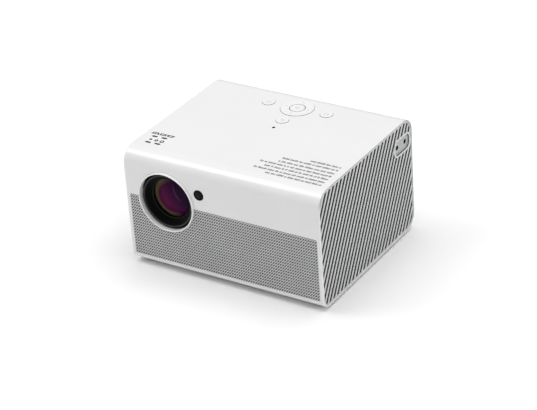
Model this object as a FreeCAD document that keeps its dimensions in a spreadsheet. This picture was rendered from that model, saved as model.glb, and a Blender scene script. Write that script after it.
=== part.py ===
"""Small tabletop projector with a built-in disc player, as a parametric FreeCAD document.

Frame: +X is the viewer's right when facing the lens side, the lens looks along -Y, +Z is up,
and the origin is under the middle of the case, on the surface that it stands on.
"""
import FreeCAD, Part
import math
import os
from types import SimpleNamespace

import Sketcher
from FreeCAD import Rotation, Vector

SIZES = {
    # housing
    "case_width": 210.0,
    "case_depth": 174.0,
    "case_height": 118.0,
    "foot_height": 3.0,
    "wall": 2.5,
    "base_thickness": 2.9,
    "top_front_round": 16.0,
    "top_rear_round": 15.0,
    "bottom_front_round": 10.0,
    "bottom_rear_round": 15.0,
    "lip_height": 3.0,
    "lip_width": 1.6,
    "lip_from_wall": 11.0,
    "lip_from_panel": 1.0,
    "end_round": 0.5,
    "fit_gap": 0.15,
    "running_gap": 0.05,
    # housing screws
    "screw_radius": 1.5,
    "screw_clearance": 0.2,
    "screw_head_radius": 2.8,
    "screw_head_height": 1.4,
    "screw_length": 9.0,
    "screw_from_side": 10.5,
    "front_screw_from_wall": 9.5,
    "rear_screw_from_wall": 13.5,
    "post_radius": 3.8,
    "post_height": 9.5,
    "post_roof": 1.0,
    # side panels
    "rim": 1.3,
    "panel_recess": 0.5,
    "panel_thickness": 3.0,
    "panel_border": 1.2,
    "slat_pitch": 6.95,
    "slot_width": 3.35,
    "slat_lean": 30.0,
    "screen_thickness": 0.5,
    "screen_edge": 1.5,
    # jack pocket in the right panel
    "jack_pocket_length": 28.0,
    "jack_pocket_height": 15.5,
    "jack_pocket_round": 6.0,
    "jack_pocket_rim": 1.4,
    "jack_pocket_depth": 1.6,
    "jack_pocket_from_rear": 5.5,
    "jack_pocket_from_top": 22.6,
    "jack_spacing": 15.0,
    "jack_window_radius": 2.4,
    "jack_hole_radius": 1.9,
    "jack_body_length": 10.0,
    "jack_body_width": 7.0,
    "jack_bore_end": 1.0,
    # dial window in the left panel
    "dial_window_front": 17.0,
    "dial_window_length": 30.0,
    "dial_window_height": 34.0,
    "dial_window_round": 6.0,
    "dial_window_rim": 1.5,
    # front grille
    "grille_side_margin": 3.7,
    "grille_bottom_margin": 8.7,
    "grille_below_lens": 0.1,
    "grille_round": 1.5,
    "grille_sheet": 1.2,
    "grille_recess": 0.3,
    "grille_flange": 1.4,
    "grille_flange_thickness": 0.8,
    # lens and its surroundings
    "lens_from_side": 45.0,
    "lens_from_top": 45.0,
    "bezel_radius": 30.3,
    "bezel_rim": 1.3,
    "bezel_proud": 2.0,
    "bezel_flange": 2.7,
    "bezel_flange_thickness": 1.2,
    "bezel_rounding": 0.5,
    "bezel_trim": 0.975,
    "hood_recess": 3.5,
    "hood_radius": 27.4,
    "hood_lip": 1.4,
    "hood_depth": 6.0,
    "hood_length": 8.0,
    "front_glass_radius": 20.6,
    "front_glass_thickness": 8.0,
    "front_glass_curve": 52.0,
    "rear_glass_radius": 19.6,
    "rear_glass_thickness": 6.0,
    "rear_glass_curve": 60.0,
    "glass_shoulder": 2.0,
    "barrel_radius": 24.5,
    "barrel_length": 30.0,
    "rear_glass_inset": 1.0,
    "carrier_wall": 2.4,
    "carrier_length": 26.0,
    "carrier_gap": 2.4,
    "trunnion_radius": 2.5,
    "trunnion_from_front": 6.0,
    "tilt_room": 2.0,
    "mount_wall": 3.0,
    "mount_length": 31.0,
    "mount_flange": 5.0,
    "mount_flange_thickness": 2.5,
    "dial_radius": 42.0,
    "dial_width": 8.0,
    "dial_notches": 40,
    "dial_notch_radius": 1.1,
    "dial_gap": 0.25,
    "collar_width": 3.6,
    "collar_height": 3.0,
    # infrared window, status light
    "ir_radius": 5.3,
    "ir_from_lens": 37.0,
    "ir_from_top": 29.0,
    "ir_proud": 0.2,
    "ir_board_thickness": 1.0,
    "ir_board_size": 13.0,
    "light_radius": 1.25,
    "light_from_ring": 43.5,
    # keys on the top
    "key_radius": 6.3,
    "key_proud": 0.5,
    "key_gap": 0.2,
    "key_travel": 0.6,
    "key_flange": 1.0,
    "key_flange_thickness": 1.1,
    "key_spacing": 32.0,
    "back_key_from_ring": 27.5,
    "ring_from_rear": 33.0,
    "ring_radius": 16.5,
    "ring_height": 4.0,
    "ring_sink": 1.0,
    "ok_radius": 7.4,
    "key_stem_radius": 2.2,
    "cradle_thickness": 0.9,
    "cradle_radius": 15.0,
    "cradle_hole_radius": 10.0,
    "pivot_radius": 1.0,
    "pivot_height": 0.7,
    "pivot_ridge": 0.5,
    "pivot_spread": 12.5,
    "switch_radius": 2.8,
    "switch_height": 1.0,
    "board_thickness": 1.6,
    "key_board_drop": 5.3,
    "key_board_width": 84.0,
    "key_board_length": 68.0,
    "key_board_rear": 10.0,
    "key_post_radius": 2.6,
    "key_post_inset": 4.0,
    # light engine
    "engine_size": 60.0,
    "engine_wall": 2.5,
    "engine_length": 81.0,
    "engine_port_radius": 25.0,
    "field_fresnel_place": 16.0,
    "display_place": 26.0,
    "display_thickness": 3.6,
    "display_window_width": 49.0,
    "display_window_height": 37.0,
    "lamp_fresnel_place": 38.0,
    "fresnel_thickness": 2.0,
    "condenser_place": 54.0,
    "condenser_flange": 3.0,
    "condenser_radius": 22.0,
    "condenser_curve": 30.0,
    "condenser_centre": 20.4,
    "led_board_thickness": 1.6,
    "led_size": 14.0,
    "led_height": 2.2,
    "sink_base": 6.0,
    "sink_plug": 5.0,
    "sink_from_rear": 8.6,
    "fin_thickness": 1.5,
    "fin_count": 12,
    # fan
    "fan_size": 50.0,
    "fan_from_rear": 5.0,
    "fan_depth": 10.0,
    "fan_bore_radius": 23.6,
    "fan_corner": 3.0,
    "fan_hub_radius": 10.5,
    "fan_strut_width": 3.0,
    "fan_strut_depth": 1.8,
    "fan_shaft_radius": 1.0,
    "fan_blade_count": 7,
    "fan_blade_gap": 0.8,
    "fan_blade_thickness": 1.0,
    "fan_blade_width": 4.6,
    "fan_blade_pitch": 38.0,
    "fan_corner_hole": 1.7,
    "fan_hole_from_side": 4.0,
    # disc drive
    "drive_width": 128.0,
    "drive_length": 128.5,
    "drive_height": 12.7,
    "drive_lift": 15.0,
    "drive_from_right": 8.0,
    "drive_sheet": 0.8,
    "drive_post_radius": 3.5,
    "drive_post_inset": 9.0,
    "drive_rear_post_inset": 36.0,
    "engine_post_gap": 1.0,
    "rail_thickness": 1.8,
    "rail_height": 5.0,
    "rail_length": 112.0,
    "slide_gap": 0.25,
    "tray_lift": 1.6,
    "tray_start_gap": 1.0,
    "tray_web": 1.0,
    "tray_thickness": 7.0,
    "tray_wall": 2.0,
    "tray_travel": 118.0,
    "disc_radius": 60.0,
    "disc_gap": 1.5,
    "disc_recess": 2.4,
    "disc_from_front": 64.0,
    "spindle_hole_radius": 11.2,
    "motor_radius": 13.0,
    "motor_height": 3.2,
    "hub_radius": 7.4,
    "hub_height": 2.0,
    "turntable_radius": 10.5,
    "turntable_thickness": 1.0,
    "turntable_lift": 0.6,
    "spindle_shaft_radius": 1.0,
    "sled_width": 44.0,
    "sled_length": 14.5,
    "sled_height": 3.4,
    "sled_lift": 0.5,
    "sled_start": 24.0,
    "sled_lens_inset": 9.5,
    "sled_travel": 31.0,
    "sled_lens_radius": 2.4,
    "sled_lens_height": 0.6,
    "sled_finger": 3.3,
    "sled_window_width": 50.0,
    "rib_thickness": 2.5,
    "rib_width": 6.0,
    "rod_radius": 1.2,
    "rod_spread": 18.0,
    "lead_screw_radius": 1.3,
    "lead_screw_spread": 27.0,
    "front_height": 15.4,
    "front_width": 129.0,
    "front_thickness": 3.0,
    "front_gap": 0.3,
    "eject_width": 8.0,
    "eject_height": 3.6,
    "eject_from_side": 14.0,
    "eject_gap": 0.15,
    "eject_travel": 0.5,
    # electronics
    "main_board_width": 118.0,
    "main_board_length": 120.0,
    "main_board_lift": 13.3,
    "standoff_radius": 2.5,
    "main_board_gap": 2.0,
    "standoff_inset": 4.0,
    "rear_standoff_inset": 24.0,
    "chip_size": 24.0,
    "chip_height": 1.6,
    "memory_length": 13.0,
    "memory_width": 8.0,
    "hdmi_width": 15.0,
    "hdmi_height": 6.0,
    "usb_width": 14.4,
    "usb_height": 7.0,
    "socket_depth": 14.0,
    "socket_shell": 0.6,
    "socket_gap": 0.3,
    "socket_recess": 1.0,
    "hdmi_from_board_side": 20.0,
    "usb_from_board_side": 52.0,
    "power_board_gap": 4.0,
    "power_board_length": 101.0,
    "power_board_from_rear": 37.0,
    "power_board_lift": 6.0,
    "transformer_size": 26.0,
    "transformer_height": 18.0,
    "capacitor_radius": 6.0,
    "capacitor_height": 18.0,
    "capacitor_gap": 2.0,
    "inlet_width": 24.0,
    "inlet_height": 13.0,
    "inlet_flange": 2.0,
    "inlet_depth": 18.0,
    "inlet_recess_width": 16.8,
    "inlet_recess_height": 8.2,
    "inlet_recess_depth": 13.0,
    "inlet_pin_radius": 1.2,
    "inlet_pin_spread": 4.3,
    "inlet_pin_length": 10.0,
    "inlet_from_side": 27.0,
    "inlet_lift": 23.5,
    # speakers
    "speaker_radius": 20.0,
    "speaker_flange": 1.5,
    "speaker_depth": 13.0,
    "magnet_radius": 12.0,
    "magnet_depth": 7.0,
    "baffle_thickness": 2.0,
    "baffle_from_lens": 40.0,
    "scrim_thickness": 0.4,
    # things under the base
    "rubber_foot_radius": 7.5,
    "rubber_foot_seat": 0.8,
    "foot_from_side": 16.0,
    "foot_from_front": 20.0,
    "foot_from_rear": 25.0,
    "tilt_foot_pad_radius": 8.0,
    "tilt_foot_pad": 2.2,
    "tilt_foot_radius": 4.0,
    "tilt_foot_length": 9.0,
    "tilt_foot_from_front": 20.0,
    "tilt_foot_boss_wall": 2.5,
    "tilt_foot_boss_height": 9.0,
    "insert_radius": 5.0,
    "insert_bore_radius": 2.55,
    "insert_height": 9.0,
    "insert_boss_wall": 2.0,
    "vent_slot_width": 2.6,
    "vent_slot_length": 40.0,
    "vent_slot_pitch": 5.6,
    "vent_slot_count": 7,
    "vent_from_board_front": 18.0,
}

doc = FreeCAD.newDocument("projector")


class Size:
    """A length known both as a number and as a formula over the cells of the sheet."""

    def __init__(self, value, formula):
        self.value = value
        self.formula = formula

    @staticmethod
    def of(item):
        return item if isinstance(item, Size) else Size(float(item), repr(float(item)))

    def joined(self, sign, other, value):
        return Size(value, f"({self.formula} {sign} {other.formula})")

    def __add__(self, other):
        other = Size.of(other)
        return self.joined("+", other, self.value + other.value)

    def __sub__(self, other):
        other = Size.of(other)
        return self.joined("-", other, self.value - other.value)

    def __mul__(self, other):
        other = Size.of(other)
        return self.joined("*", other, self.value * other.value)

    def __truediv__(self, other):
        other = Size.of(other)
        return self.joined("/", other, self.value / other.value)

    def __neg__(self):
        return Size(-self.value, f"(0 - {self.formula})")

    __radd__ = __add__
    __rmul__ = __mul__

    def __rsub__(self, other):
        return Size.of(other) - self


def tangent(size):
    """Tangent of an angle in degrees."""
    return Size(math.tan(math.radians(size.value)), f"tan({size.formula} * 1deg)")


def cosine(size):
    """Cosine of an angle in degrees."""
    return Size(math.cos(math.radians(size.value)), f"cos({size.formula} * 1deg)")


def floored(size):
    """The whole number just under a size."""
    return Size(math.floor(size.value), f"floor({size.formula})")


sheet = doc.addObject("Spreadsheet::Sheet", "sizes")
s = SimpleNamespace()
for row, (name, number) in enumerate(SIZES.items(), start=1):
    sheet.set(f"A{row}", name)
    sheet.set(f"B{row}", str(number))
    sheet.setAlias(f"B{row}", name)
    setattr(s, name, Size(number, f"sizes.{name}"))
doc.recompute()

parts = {}

# ---------------------------------------------------------------- drawing and features

TURNS = {
    "z": Rotation(),
    "y": Rotation(Vector(1, 0, 0), -90),
    "x": Rotation(Vector(0, 1, 0), 90),
}
NORMALS = {"XY": 1, "XZ": -1, "YZ": 1}


def bind(item, prop, size):
    """Drive one property of a document object by a formula."""
    item.setExpression(prop, Size.of(size).formula)


def place(item, x=0, y=0, z=0, along="z"):
    """Put an object's origin at a point, with its own Z along the named axis."""
    item.Placement = FreeCAD.Placement(Vector(), TURNS[along])
    for axis, size in (("x", x), ("y", y), ("z", z)):
        bind(item, f"Placement.Base.{axis}", size)


def new_body(label, x=0, y=0, z=0, along="z"):
    """A PartDesign body with its own label and placement."""
    body = doc.addObject("PartDesign::Body", label)
    body.Label = label
    place(body, x, y, z, along)
    parts[label] = body
    return body


class Drawing:
    """A sketch on one of a body's origin planes, moved along the plane's axis to `at`."""

    def __init__(self, body, plane, at=0):
        self.body = body
        self.plane = plane
        self.sketch = body.newObject("Sketcher::SketchObject", f"{body.Label}_outline")
        origin_plane = [f for f in body.Origin.OriginFeatures if f.Role == f"{plane}_Plane"][0]
        self.sketch.AttachmentSupport = (origin_plane, [""])
        self.sketch.MapMode = "FlatFace"
        offset = Size.of(at) * NORMALS[plane]
        self.sketch.AttachmentOffset = FreeCAD.Placement(Vector(0, 0, offset.value), Rotation())
        bind(self.sketch, "AttachmentOffset.Base.z", offset)

    def fix(self, kind, size, *where):
        """Add a dimension between points, driven by a formula."""
        size = Size.of(size)
        number = self.sketch.addConstraint(Sketcher.Constraint(kind, *where, size.value))
        self.sketch.setExpression(f"Constraints[{number}]", size.formula)

    def pin(self, geometry, point, across, up):
        """Dimension a point from the sketch's origin."""
        self.fix("DistanceX", across, -1, 1, geometry, point)
        self.fix("DistanceY", up, -1, 1, geometry, point)

    def polygon(self, corners):
        """Closed outline of straight lines through the corners."""
        corners = [(Size.of(a), Size.of(b)) for a, b in corners]
        points = [Vector(a.value, b.value, 0) for a, b in corners]
        lines = [self.sketch.addGeometry(Part.LineSegment(points[i], points[(i + 1) % len(points)]), False)
                 for i in range(len(points))]
        for i, line in enumerate(lines):
            self.sketch.addConstraint(Sketcher.Constraint("Coincident", line, 2, lines[(i + 1) % len(lines)], 1))
            self.pin(line, 1, *corners[i])
        return self

    def rectangle(self, left, right, low, high):
        """Closed outline of a box."""
        return self.polygon([(left, low), (right, low), (right, high), (left, high)])

    def circle(self, across, up, radius):
        """Circle about a dimensioned centre."""
        across, up, radius = Size.of(across), Size.of(up), Size.of(radius)
        shape = Part.Circle(Vector(across.value, up.value, 0), Vector(0, 0, 1), radius.value)
        ring = self.sketch.addGeometry(shape, False)
        self.pin(ring, 3, across, up)
        self.fix("Radius", radius, ring)
        return self

    def rounded(self, left, right, low, high, radii):
        """Box with round corners, radii from the low left corner anticlockwise."""
        if not isinstance(radii, (list, tuple)):
            radii = [radii] * 4
        radii = [Size.of(radius) for radius in radii]
        signs = ((1, 1), (-1, 1), (-1, -1), (1, -1))
        corners = ((left, low), (right, low), (right, high), (left, high))
        arcs = []
        for turn, (corner, sign, radius) in enumerate(zip(corners, signs, radii)):
            across = corner[0] + radius * sign[0]
            up = corner[1] + radius * sign[1]
            whole = Part.Circle(Vector(across.value, up.value, 0), Vector(0, 0, 1), radius.value)
            start = math.pi * (1 + turn / 2)
            arc = self.sketch.addGeometry(Part.ArcOfCircle(whole, start, start + math.pi / 2), False)
            self.pin(arc, 3, across, up)
            self.fix("Radius", radius, arc)
            level = ("Horizontal", "Vertical") if turn % 2 == 0 else ("Vertical", "Horizontal")
            self.sketch.addConstraint(Sketcher.Constraint(level[0], arc, 1, arc, 3))
            self.sketch.addConstraint(Sketcher.Constraint(level[1], arc, 2, arc, 3))
            arcs.append(arc)
        for arc, following in zip(arcs, arcs[1:] + arcs[:1]):
            ends = [self.sketch.getPoint(arc, 2), self.sketch.getPoint(following, 1)]
            line = self.sketch.addGeometry(Part.LineSegment(*ends), False)
            self.sketch.addConstraint(Sketcher.Constraint("Coincident", line, 1, arc, 2))
            self.sketch.addConstraint(Sketcher.Constraint("Coincident", line, 2, following, 1))
        return self

    def pad(self, length, towards=1):
        """Grow material from the sketch, towards the positive or negative axis."""
        feature = self.body.newObject("PartDesign::Pad", f"{self.body.Label}_pad")
        feature.Profile = self.sketch
        feature.Reversed = NORMALS[self.plane] != towards
        bind(feature, "Length", length)
        return feature

    def pocket(self, length, towards=-1):
        """Cut material from the sketch, towards the positive or negative axis."""
        feature = self.body.newObject("PartDesign::Pocket", f"{self.body.Label}_pocket")
        feature.Profile = self.sketch
        feature.Reversed = NORMALS[self.plane] == towards
        bind(feature, "Length", length)
        return feature

    def turn(self):
        """Revolve the sketch about its upright axis."""
        feature = self.body.newObject("PartDesign::Revolution", f"{self.body.Label}_turning")
        feature.Profile = self.sketch
        feature.ReferenceAxis = (self.sketch, ["V_Axis"])
        feature.Angle = 360
        return feature


def repeat_line(drawing, feature, axis, pitch, count):
    """Copy a feature along one of its sketch's axes."""
    pattern = drawing.body.newObject("PartDesign::LinearPattern", f"{drawing.body.Label}_row")
    pattern.Originals = [feature]
    pattern.Direction = (drawing.sketch, [axis])
    bind(pattern, "Length", pitch * (count - 1))
    bind(pattern, "Occurrences", count)
    drawing.body.Tip = pattern
    return pattern


def repeat_round(body, feature, count):
    """Copy a feature round the body's own Z axis."""
    pattern = body.newObject("PartDesign::PolarPattern", f"{body.Label}_circle")
    pattern.Originals = [feature]
    axis = [f for f in body.Origin.OriginFeatures if f.Role == "Z_Axis"][0]
    pattern.Axis = (axis, [""])
    pattern.Angle = 360
    bind(pattern, "Occurrences", count)
    body.Tip = pattern
    return pattern


def edges_where(feature, test):
    """Names of a feature's edges whose bounding box passes the test."""
    doc.recompute()
    return [f"Edge{i}" for i, edge in enumerate(feature.Shape.Edges, start=1) if test(edge.BoundBox, edge)]


def round_off(body, feature, names, radius, kind="Fillet"):
    """Fillet or chamfer the named edges."""
    dress = body.newObject(f"PartDesign::{kind}", f"{body.Label}_{kind.lower()}")
    dress.Base = (feature, names)
    bind(dress, "Radius" if kind == "Fillet" else "Size", radius)
    body.Tip = dress
    return dress


def turned(label, profile, x=0, y=0, z=0, along="z"):
    """A piece turned about its own axis from a profile of (radius, height) corners."""
    body = new_body(label, x, y, z, along)
    drawing = Drawing(body, "XZ")
    drawing.polygon(profile)
    drawing.turn()
    return body


def block(label, x, y, z):
    """A Part box between two places along each axis."""
    box = doc.addObject("Part::Box", label)
    for prop, (low, high) in (("Length", x), ("Width", y), ("Height", z)):
        bind(box, prop, Size.of(high) - Size.of(low))
    place(box, x[0], y[0], z[0])
    return box


def rod(label, radius, length, x=0, y=0, z=0, along="z"):
    """A Part cylinder from a point along an axis."""
    cylinder = doc.addObject("Part::Cylinder", label)
    bind(cylinder, "Radius", radius)
    bind(cylinder, "Height", length)
    place(cylinder, x, y, z, along)
    return cylinder


def ball(label, radius, x=0, y=0, z=0):
    """A Part sphere about a point."""
    sphere = doc.addObject("Part::Sphere", label)
    bind(sphere, "Radius", radius)
    place(sphere, x, y, z)
    return sphere


def joined(label, *pieces):
    """One object of several Part solids."""
    whole = doc.addObject("Part::MultiFuse", label)
    whole.Shapes = list(pieces)
    return whole


def common(label, *pieces):
    """What several Part solids share."""
    whole = doc.addObject("Part::MultiCommon", label)
    whole.Shapes = list(pieces)
    return whole


def cut(label, base, *tools):
    """A Part solid less its tools."""
    whole = doc.addObject("Part::Cut", label)
    whole.Base = base
    whole.Tool = tools[0] if len(tools) == 1 else joined(f"{label}_tools", *tools)
    return whole


def keep(label, item):
    """Make a Part object one of the sub-parts."""
    item.Label = label
    parts[label] = item
    return item


# ---------------------------------------------------------------- places shared by the pieces

half_width = s.case_width / 2
front = -(s.case_depth - s.bezel_proud) / 2
rear = front + s.case_depth
bottom = s.foot_height
top = bottom + s.case_height
split = bottom + s.base_thickness
inner_front = front + s.wall
inner_rear = rear - s.wall
inner_top = top - s.wall
panel_outer = half_width - s.panel_recess
panel_inner = panel_outer - s.panel_thickness
cut_clear = 1.0

grille_side = half_width - s.grille_side_margin
grille_low = bottom + s.grille_bottom_margin
lens_x = s.lens_from_side - half_width
lens_z = top - s.lens_from_top
grille_high = lens_z - s.grille_below_lens

ring_y = rear - s.ring_from_rear
key_places = {
    "power_key": (-s.key_spacing, ring_y),
    "source_key": (s.key_spacing, ring_y),
    "back_key": (Size.of(0), ring_y - s.back_key_from_ring),
}
light_y = ring_y - s.light_from_ring
ir_x = lens_x + s.ir_from_lens
ir_z = top - s.ir_from_top

screw_places = [(side * (half_width - s.screw_from_side), y)
                for side in (-1, 1)
                for y in (front + s.front_screw_from_wall, rear - s.rear_screw_from_wall)]

drive_right = half_width - s.drive_from_right
drive_left = drive_right - s.drive_width
drive_x = drive_right - s.drive_width / 2
drive_low = bottom + s.drive_lift
drive_high = drive_low + s.drive_height
tray_front_y = rear - s.front_thickness
drive_end = tray_front_y - s.front_gap
drive_start = drive_end - s.drive_length
front_low = drive_low + (s.drive_height - s.front_height) / 2
front_high = front_low + s.front_height
front_left = drive_x - s.front_width / 2
front_right = drive_x + s.front_width / 2

board_z = drive_high + s.main_board_lift
board_left = drive_x - s.main_board_width / 2
board_right = drive_x + s.main_board_width / 2
board_rear = inner_rear - s.main_board_gap
board_start = board_rear - s.main_board_length
hdmi_x = board_right - s.hdmi_from_board_side
usb_x = board_right - s.usb_from_board_side
socket_low = board_z + s.board_thickness
socket_end = rear - s.socket_recess

inlet_x = s.inlet_from_side - half_width
inlet_z = bottom + s.inlet_lift

key_board_z = inner_top - s.key_board_drop - s.board_thickness
key_board_rear = inner_rear - s.key_board_rear
key_board_start = key_board_rear - s.key_board_length
key_post_places = [(side * (s.key_board_width / 2 - s.key_post_inset), y)
                   for side in (-1, 1)
                   for y in (key_board_start + s.key_post_inset, key_board_rear - s.key_post_inset)]


def case_outline(drawing, inset):
    """Side outline of the case, moved in all round by the inset."""
    rounds = (s.bottom_front_round, s.bottom_rear_round, s.top_rear_round, s.top_front_round)
    drawing.rounded(front + inset, rear - inset, bottom + inset, top - inset,
                    [radius - inset for radius in rounds])


def case_tube(body):
    """The case's wall as a tube along X, with a rebate for a side panel at each end."""
    drawing = Drawing(body, "YZ", -half_width)
    case_outline(drawing, Size.of(0))
    case_outline(drawing, s.wall)
    drawing.pad(s.case_width)


def round_ends(body):
    """Soften the outer edges of the case's two open ends."""
    def outer(box, edge):
        at_end = box.XMin > half_width.value - 0.01 or box.XMax < 0.01 - half_width.value
        at_side = box.YMin < front.value + 0.01 or box.YMax > rear.value - 0.01
        at_face = box.ZMax > top.value - 0.01 or box.ZMin < bottom.value + 0.01
        return at_end and (at_side or at_face) and box.ZMax - box.ZMin + box.YMax - box.YMin > s.wall.value
    round_off(body, body.Tip, edges_where(body.Tip, outer), s.end_round)


def panel_rebates(body):
    """Seats for the two side panels in the ends of the case."""
    depth = s.panel_recess + s.panel_thickness
    for side in (-1, 1):
        drawing = Drawing(body, "YZ", side * half_width)
        case_outline(drawing, s.rim)
        drawing.pocket(depth, towards=-side)


# ---------------------------------------------------------------- upper shell

shell = new_body("upper_shell")
case_tube(shell)
drawing = Drawing(shell, "YZ", -half_width)
drawing.rectangle(front - cut_clear, rear + cut_clear, bottom - cut_clear, split)
drawing.pocket(s.case_width, towards=1)
panel_rebates(shell)

for x, y in screw_places:
    Drawing(shell, "XY", split).circle(x, y, s.post_radius).pad(s.post_height)
for x, y in screw_places:
    Drawing(shell, "XY", split).circle(x, y, s.screw_radius).pocket(s.post_height - s.post_roof, towards=1)
for x, y in key_post_places:
    Drawing(shell, "XY", inner_top).circle(x, y, s.key_post_radius).pad(s.key_board_drop, towards=-1)

drawing = Drawing(shell, "XZ", front)
drawing.rounded(-grille_side, grille_side, grille_low, grille_high, s.grille_round)
drawing.pocket(s.wall + cut_clear, towards=1)
Drawing(shell, "XZ", front).circle(lens_x, lens_z, s.bezel_radius + s.fit_gap).pocket(
    s.wall + cut_clear, towards=1)
Drawing(shell, "XZ", front).circle(ir_x, ir_z, s.ir_radius).pocket(s.wall + cut_clear, towards=1)

drawing = Drawing(shell, "XY", top)
drawing.circle(0, ring_y, s.ring_radius + s.key_gap)
for x, y in key_places.values():
    drawing.circle(x, y, s.key_radius + s.key_gap)
drawing.circle(0, light_y, s.light_radius)
drawing.pocket(s.wall + cut_clear, towards=-1)

drawing = Drawing(shell, "XZ", rear)
drawing.rounded(front_left - s.front_gap, front_right + s.front_gap,
                front_low - s.front_gap, front_high + s.front_gap, s.grille_round)
for x, width, height in ((hdmi_x, s.hdmi_width, s.hdmi_height), (usb_x, s.usb_width, s.usb_height)):
    drawing.rectangle(x - width / 2 - s.socket_gap, x + width / 2 + s.socket_gap,
                      socket_low - s.socket_gap, socket_low + height + s.socket_gap)
drawing.rectangle(inlet_x - s.inlet_width / 2, inlet_x + s.inlet_width / 2,
                  inlet_z - s.inlet_height / 2, inlet_z + s.inlet_height / 2)
drawing.pocket(s.wall + cut_clear, towards=-1)
round_ends(shell)

# ---------------------------------------------------------------- base cover

base = new_body("base_cover")
drawing = Drawing(base, "YZ", -half_width)
case_outline(drawing, Size.of(0))
drawing.pad(s.case_width)
drawing = Drawing(base, "YZ", -half_width)
drawing.rectangle(front - cut_clear, rear + cut_clear, split, top + cut_clear)
drawing.pocket(s.case_width, towards=1)
panel_rebates(base)

lip_side = panel_inner - s.lip_from_panel
lip_front = front + s.lip_from_wall + s.post_radius
lip_rear = rear - s.lip_from_wall - 2 * s.post_radius
drawing = Drawing(base, "XY", split)
drawing.rectangle(-lip_side, lip_side, lip_front, lip_rear)
drawing.rectangle(s.lip_width - lip_side, lip_side - s.lip_width, lip_front + s.lip_width,
                  lip_rear - s.lip_width)
drawing.pad(s.lip_height)

drive_posts = [(x, y)
               for x in (drive_left + s.drive_post_inset, drive_right - s.drive_post_inset)
               for y in (drive_start + s.drive_post_inset, drive_end - s.drive_rear_post_inset)]
engine_left = lens_x - s.engine_size / 2
engine_right = lens_x + s.engine_size / 2
engine_low = lens_z - s.engine_size / 2
engine_high = lens_z + s.engine_size / 2
bezel_front = front - s.bezel_proud
hood_front = bezel_front + s.hood_recess
hood_rear = hood_front + s.hood_length
mount_front = hood_rear + s.carrier_gap
engine_start = mount_front + s.mount_length
engine_end = engine_start + s.engine_length
engine_posts = [(x, y)
                for x in (engine_left + s.drive_post_radius, drive_left - s.drive_post_radius - s.engine_post_gap)
                for y in (engine_start + s.drive_post_inset, engine_end - s.drive_post_inset)]
power_x = (engine_posts[0][0] + engine_posts[-1][0]) / 2
power_left = engine_posts[0][0] + s.drive_post_radius + s.power_board_gap
power_right = engine_posts[-1][0] - s.drive_post_radius - s.power_board_gap
power_end = rear - s.power_board_from_rear
power_start = power_end - s.power_board_length
power_mid = (power_start + power_end) / 2
power_z = split + s.power_board_lift
power_posts = [(x, y)
               for x in (power_left + s.standoff_inset, power_right - s.standoff_inset)
               for y in (power_start + s.standoff_inset, power_end - s.standoff_inset)]
for places, radius, height in ((drive_posts, s.drive_post_radius, drive_low - split),
                               (engine_posts, s.drive_post_radius, engine_low - split),
                               (power_posts, s.standoff_radius, s.power_board_lift)):
    drawing = Drawing(base, "XY", split)
    for x, y in places:
        drawing.circle(x, y, radius)
    drawing.pad(height)

tilt_y = front + s.tilt_foot_from_front
tilt_boss = s.tilt_foot_radius + s.tilt_foot_boss_wall
Drawing(base, "XY", split).circle(0, tilt_y, tilt_boss).pad(s.tilt_foot_boss_height)
Drawing(base, "XY", bottom).circle(0, tilt_y, s.tilt_foot_radius + s.running_gap).pocket(
    s.base_thickness + s.tilt_foot_boss_height + cut_clear, towards=1)
insert_y = (front + rear) / 2
Drawing(base, "XY", split).circle(0, insert_y, s.insert_radius + s.insert_boss_wall).pad(
    s.insert_height - s.base_thickness)
Drawing(base, "XY", bottom).circle(0, insert_y, s.insert_radius).pocket(
    s.insert_height + cut_clear, towards=1)

foot_places = [(side * (half_width - s.foot_from_side), y)
               for side in (-1, 1)
               for y in (front + s.foot_from_front, rear - s.foot_from_rear)]
drawing = Drawing(base, "XY", bottom)
for x, y in foot_places:
    drawing.circle(x, y, s.rubber_foot_radius)
drawing.pocket(s.rubber_foot_seat, towards=1)
drawing = Drawing(base, "XY", bottom)
for x, y in screw_places:
    drawing.circle(x, y, s.screw_radius + s.screw_clearance)
drawing.pocket(s.base_thickness + cut_clear, towards=1)
drawing = Drawing(base, "XY", bottom)
for x, y in screw_places:
    drawing.circle(x, y, s.screw_head_radius + s.screw_clearance)
drawing.pocket(s.screw_head_height, towards=1)

drawing = Drawing(base, "XY", bottom)
vent_left = power_left + s.vent_slot_width / 2
vent_front = power_start + s.vent_from_board_front
drawing.rounded(vent_left, vent_left + s.vent_slot_width, vent_front, vent_front + s.vent_slot_length,
                s.vent_slot_width / 2 - s.running_gap)
vent = drawing.pocket(s.base_thickness + cut_clear, towards=1)
repeat_line(drawing, vent, "H_Axis", s.vent_slot_pitch, s.vent_slot_count)
round_ends(base)

# ---------------------------------------------------------------- side panels and dust screens

panel_inset = s.rim + s.fit_gap
slot_rise = s.case_height
slot_run = slot_rise * tangent(s.slat_lean)
slot_across = s.slot_width / cosine(s.slat_lean)
slot_start = front - slot_run + s.slat_pitch
slot_count = floored((s.case_depth + slot_run) / s.slat_pitch)


def slatted_panel(label, side):
    """A side panel: slanted slats joined by a thin border."""
    body = new_body(label)
    drawing = Drawing(body, "YZ", side * panel_outer)
    case_outline(drawing, panel_inset)
    drawing.pad(s.panel_thickness, towards=-side)
    drawing = Drawing(body, "YZ", side * panel_outer)
    drawing.polygon([(slot_start, bottom), (slot_start + slot_across, bottom),
                     (slot_start + slot_across + slot_run, top), (slot_start + slot_run, top)])
    slot = drawing.pocket(s.panel_thickness, towards=-side)
    repeat_line(drawing, slot, "H_Axis", s.slat_pitch, slot_count)
    drawing = Drawing(body, "YZ", side * panel_outer)
    case_outline(drawing, panel_inset)
    case_outline(drawing, panel_inset + s.panel_border)
    drawing.pad(s.panel_thickness, towards=-side)
    return body


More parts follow.
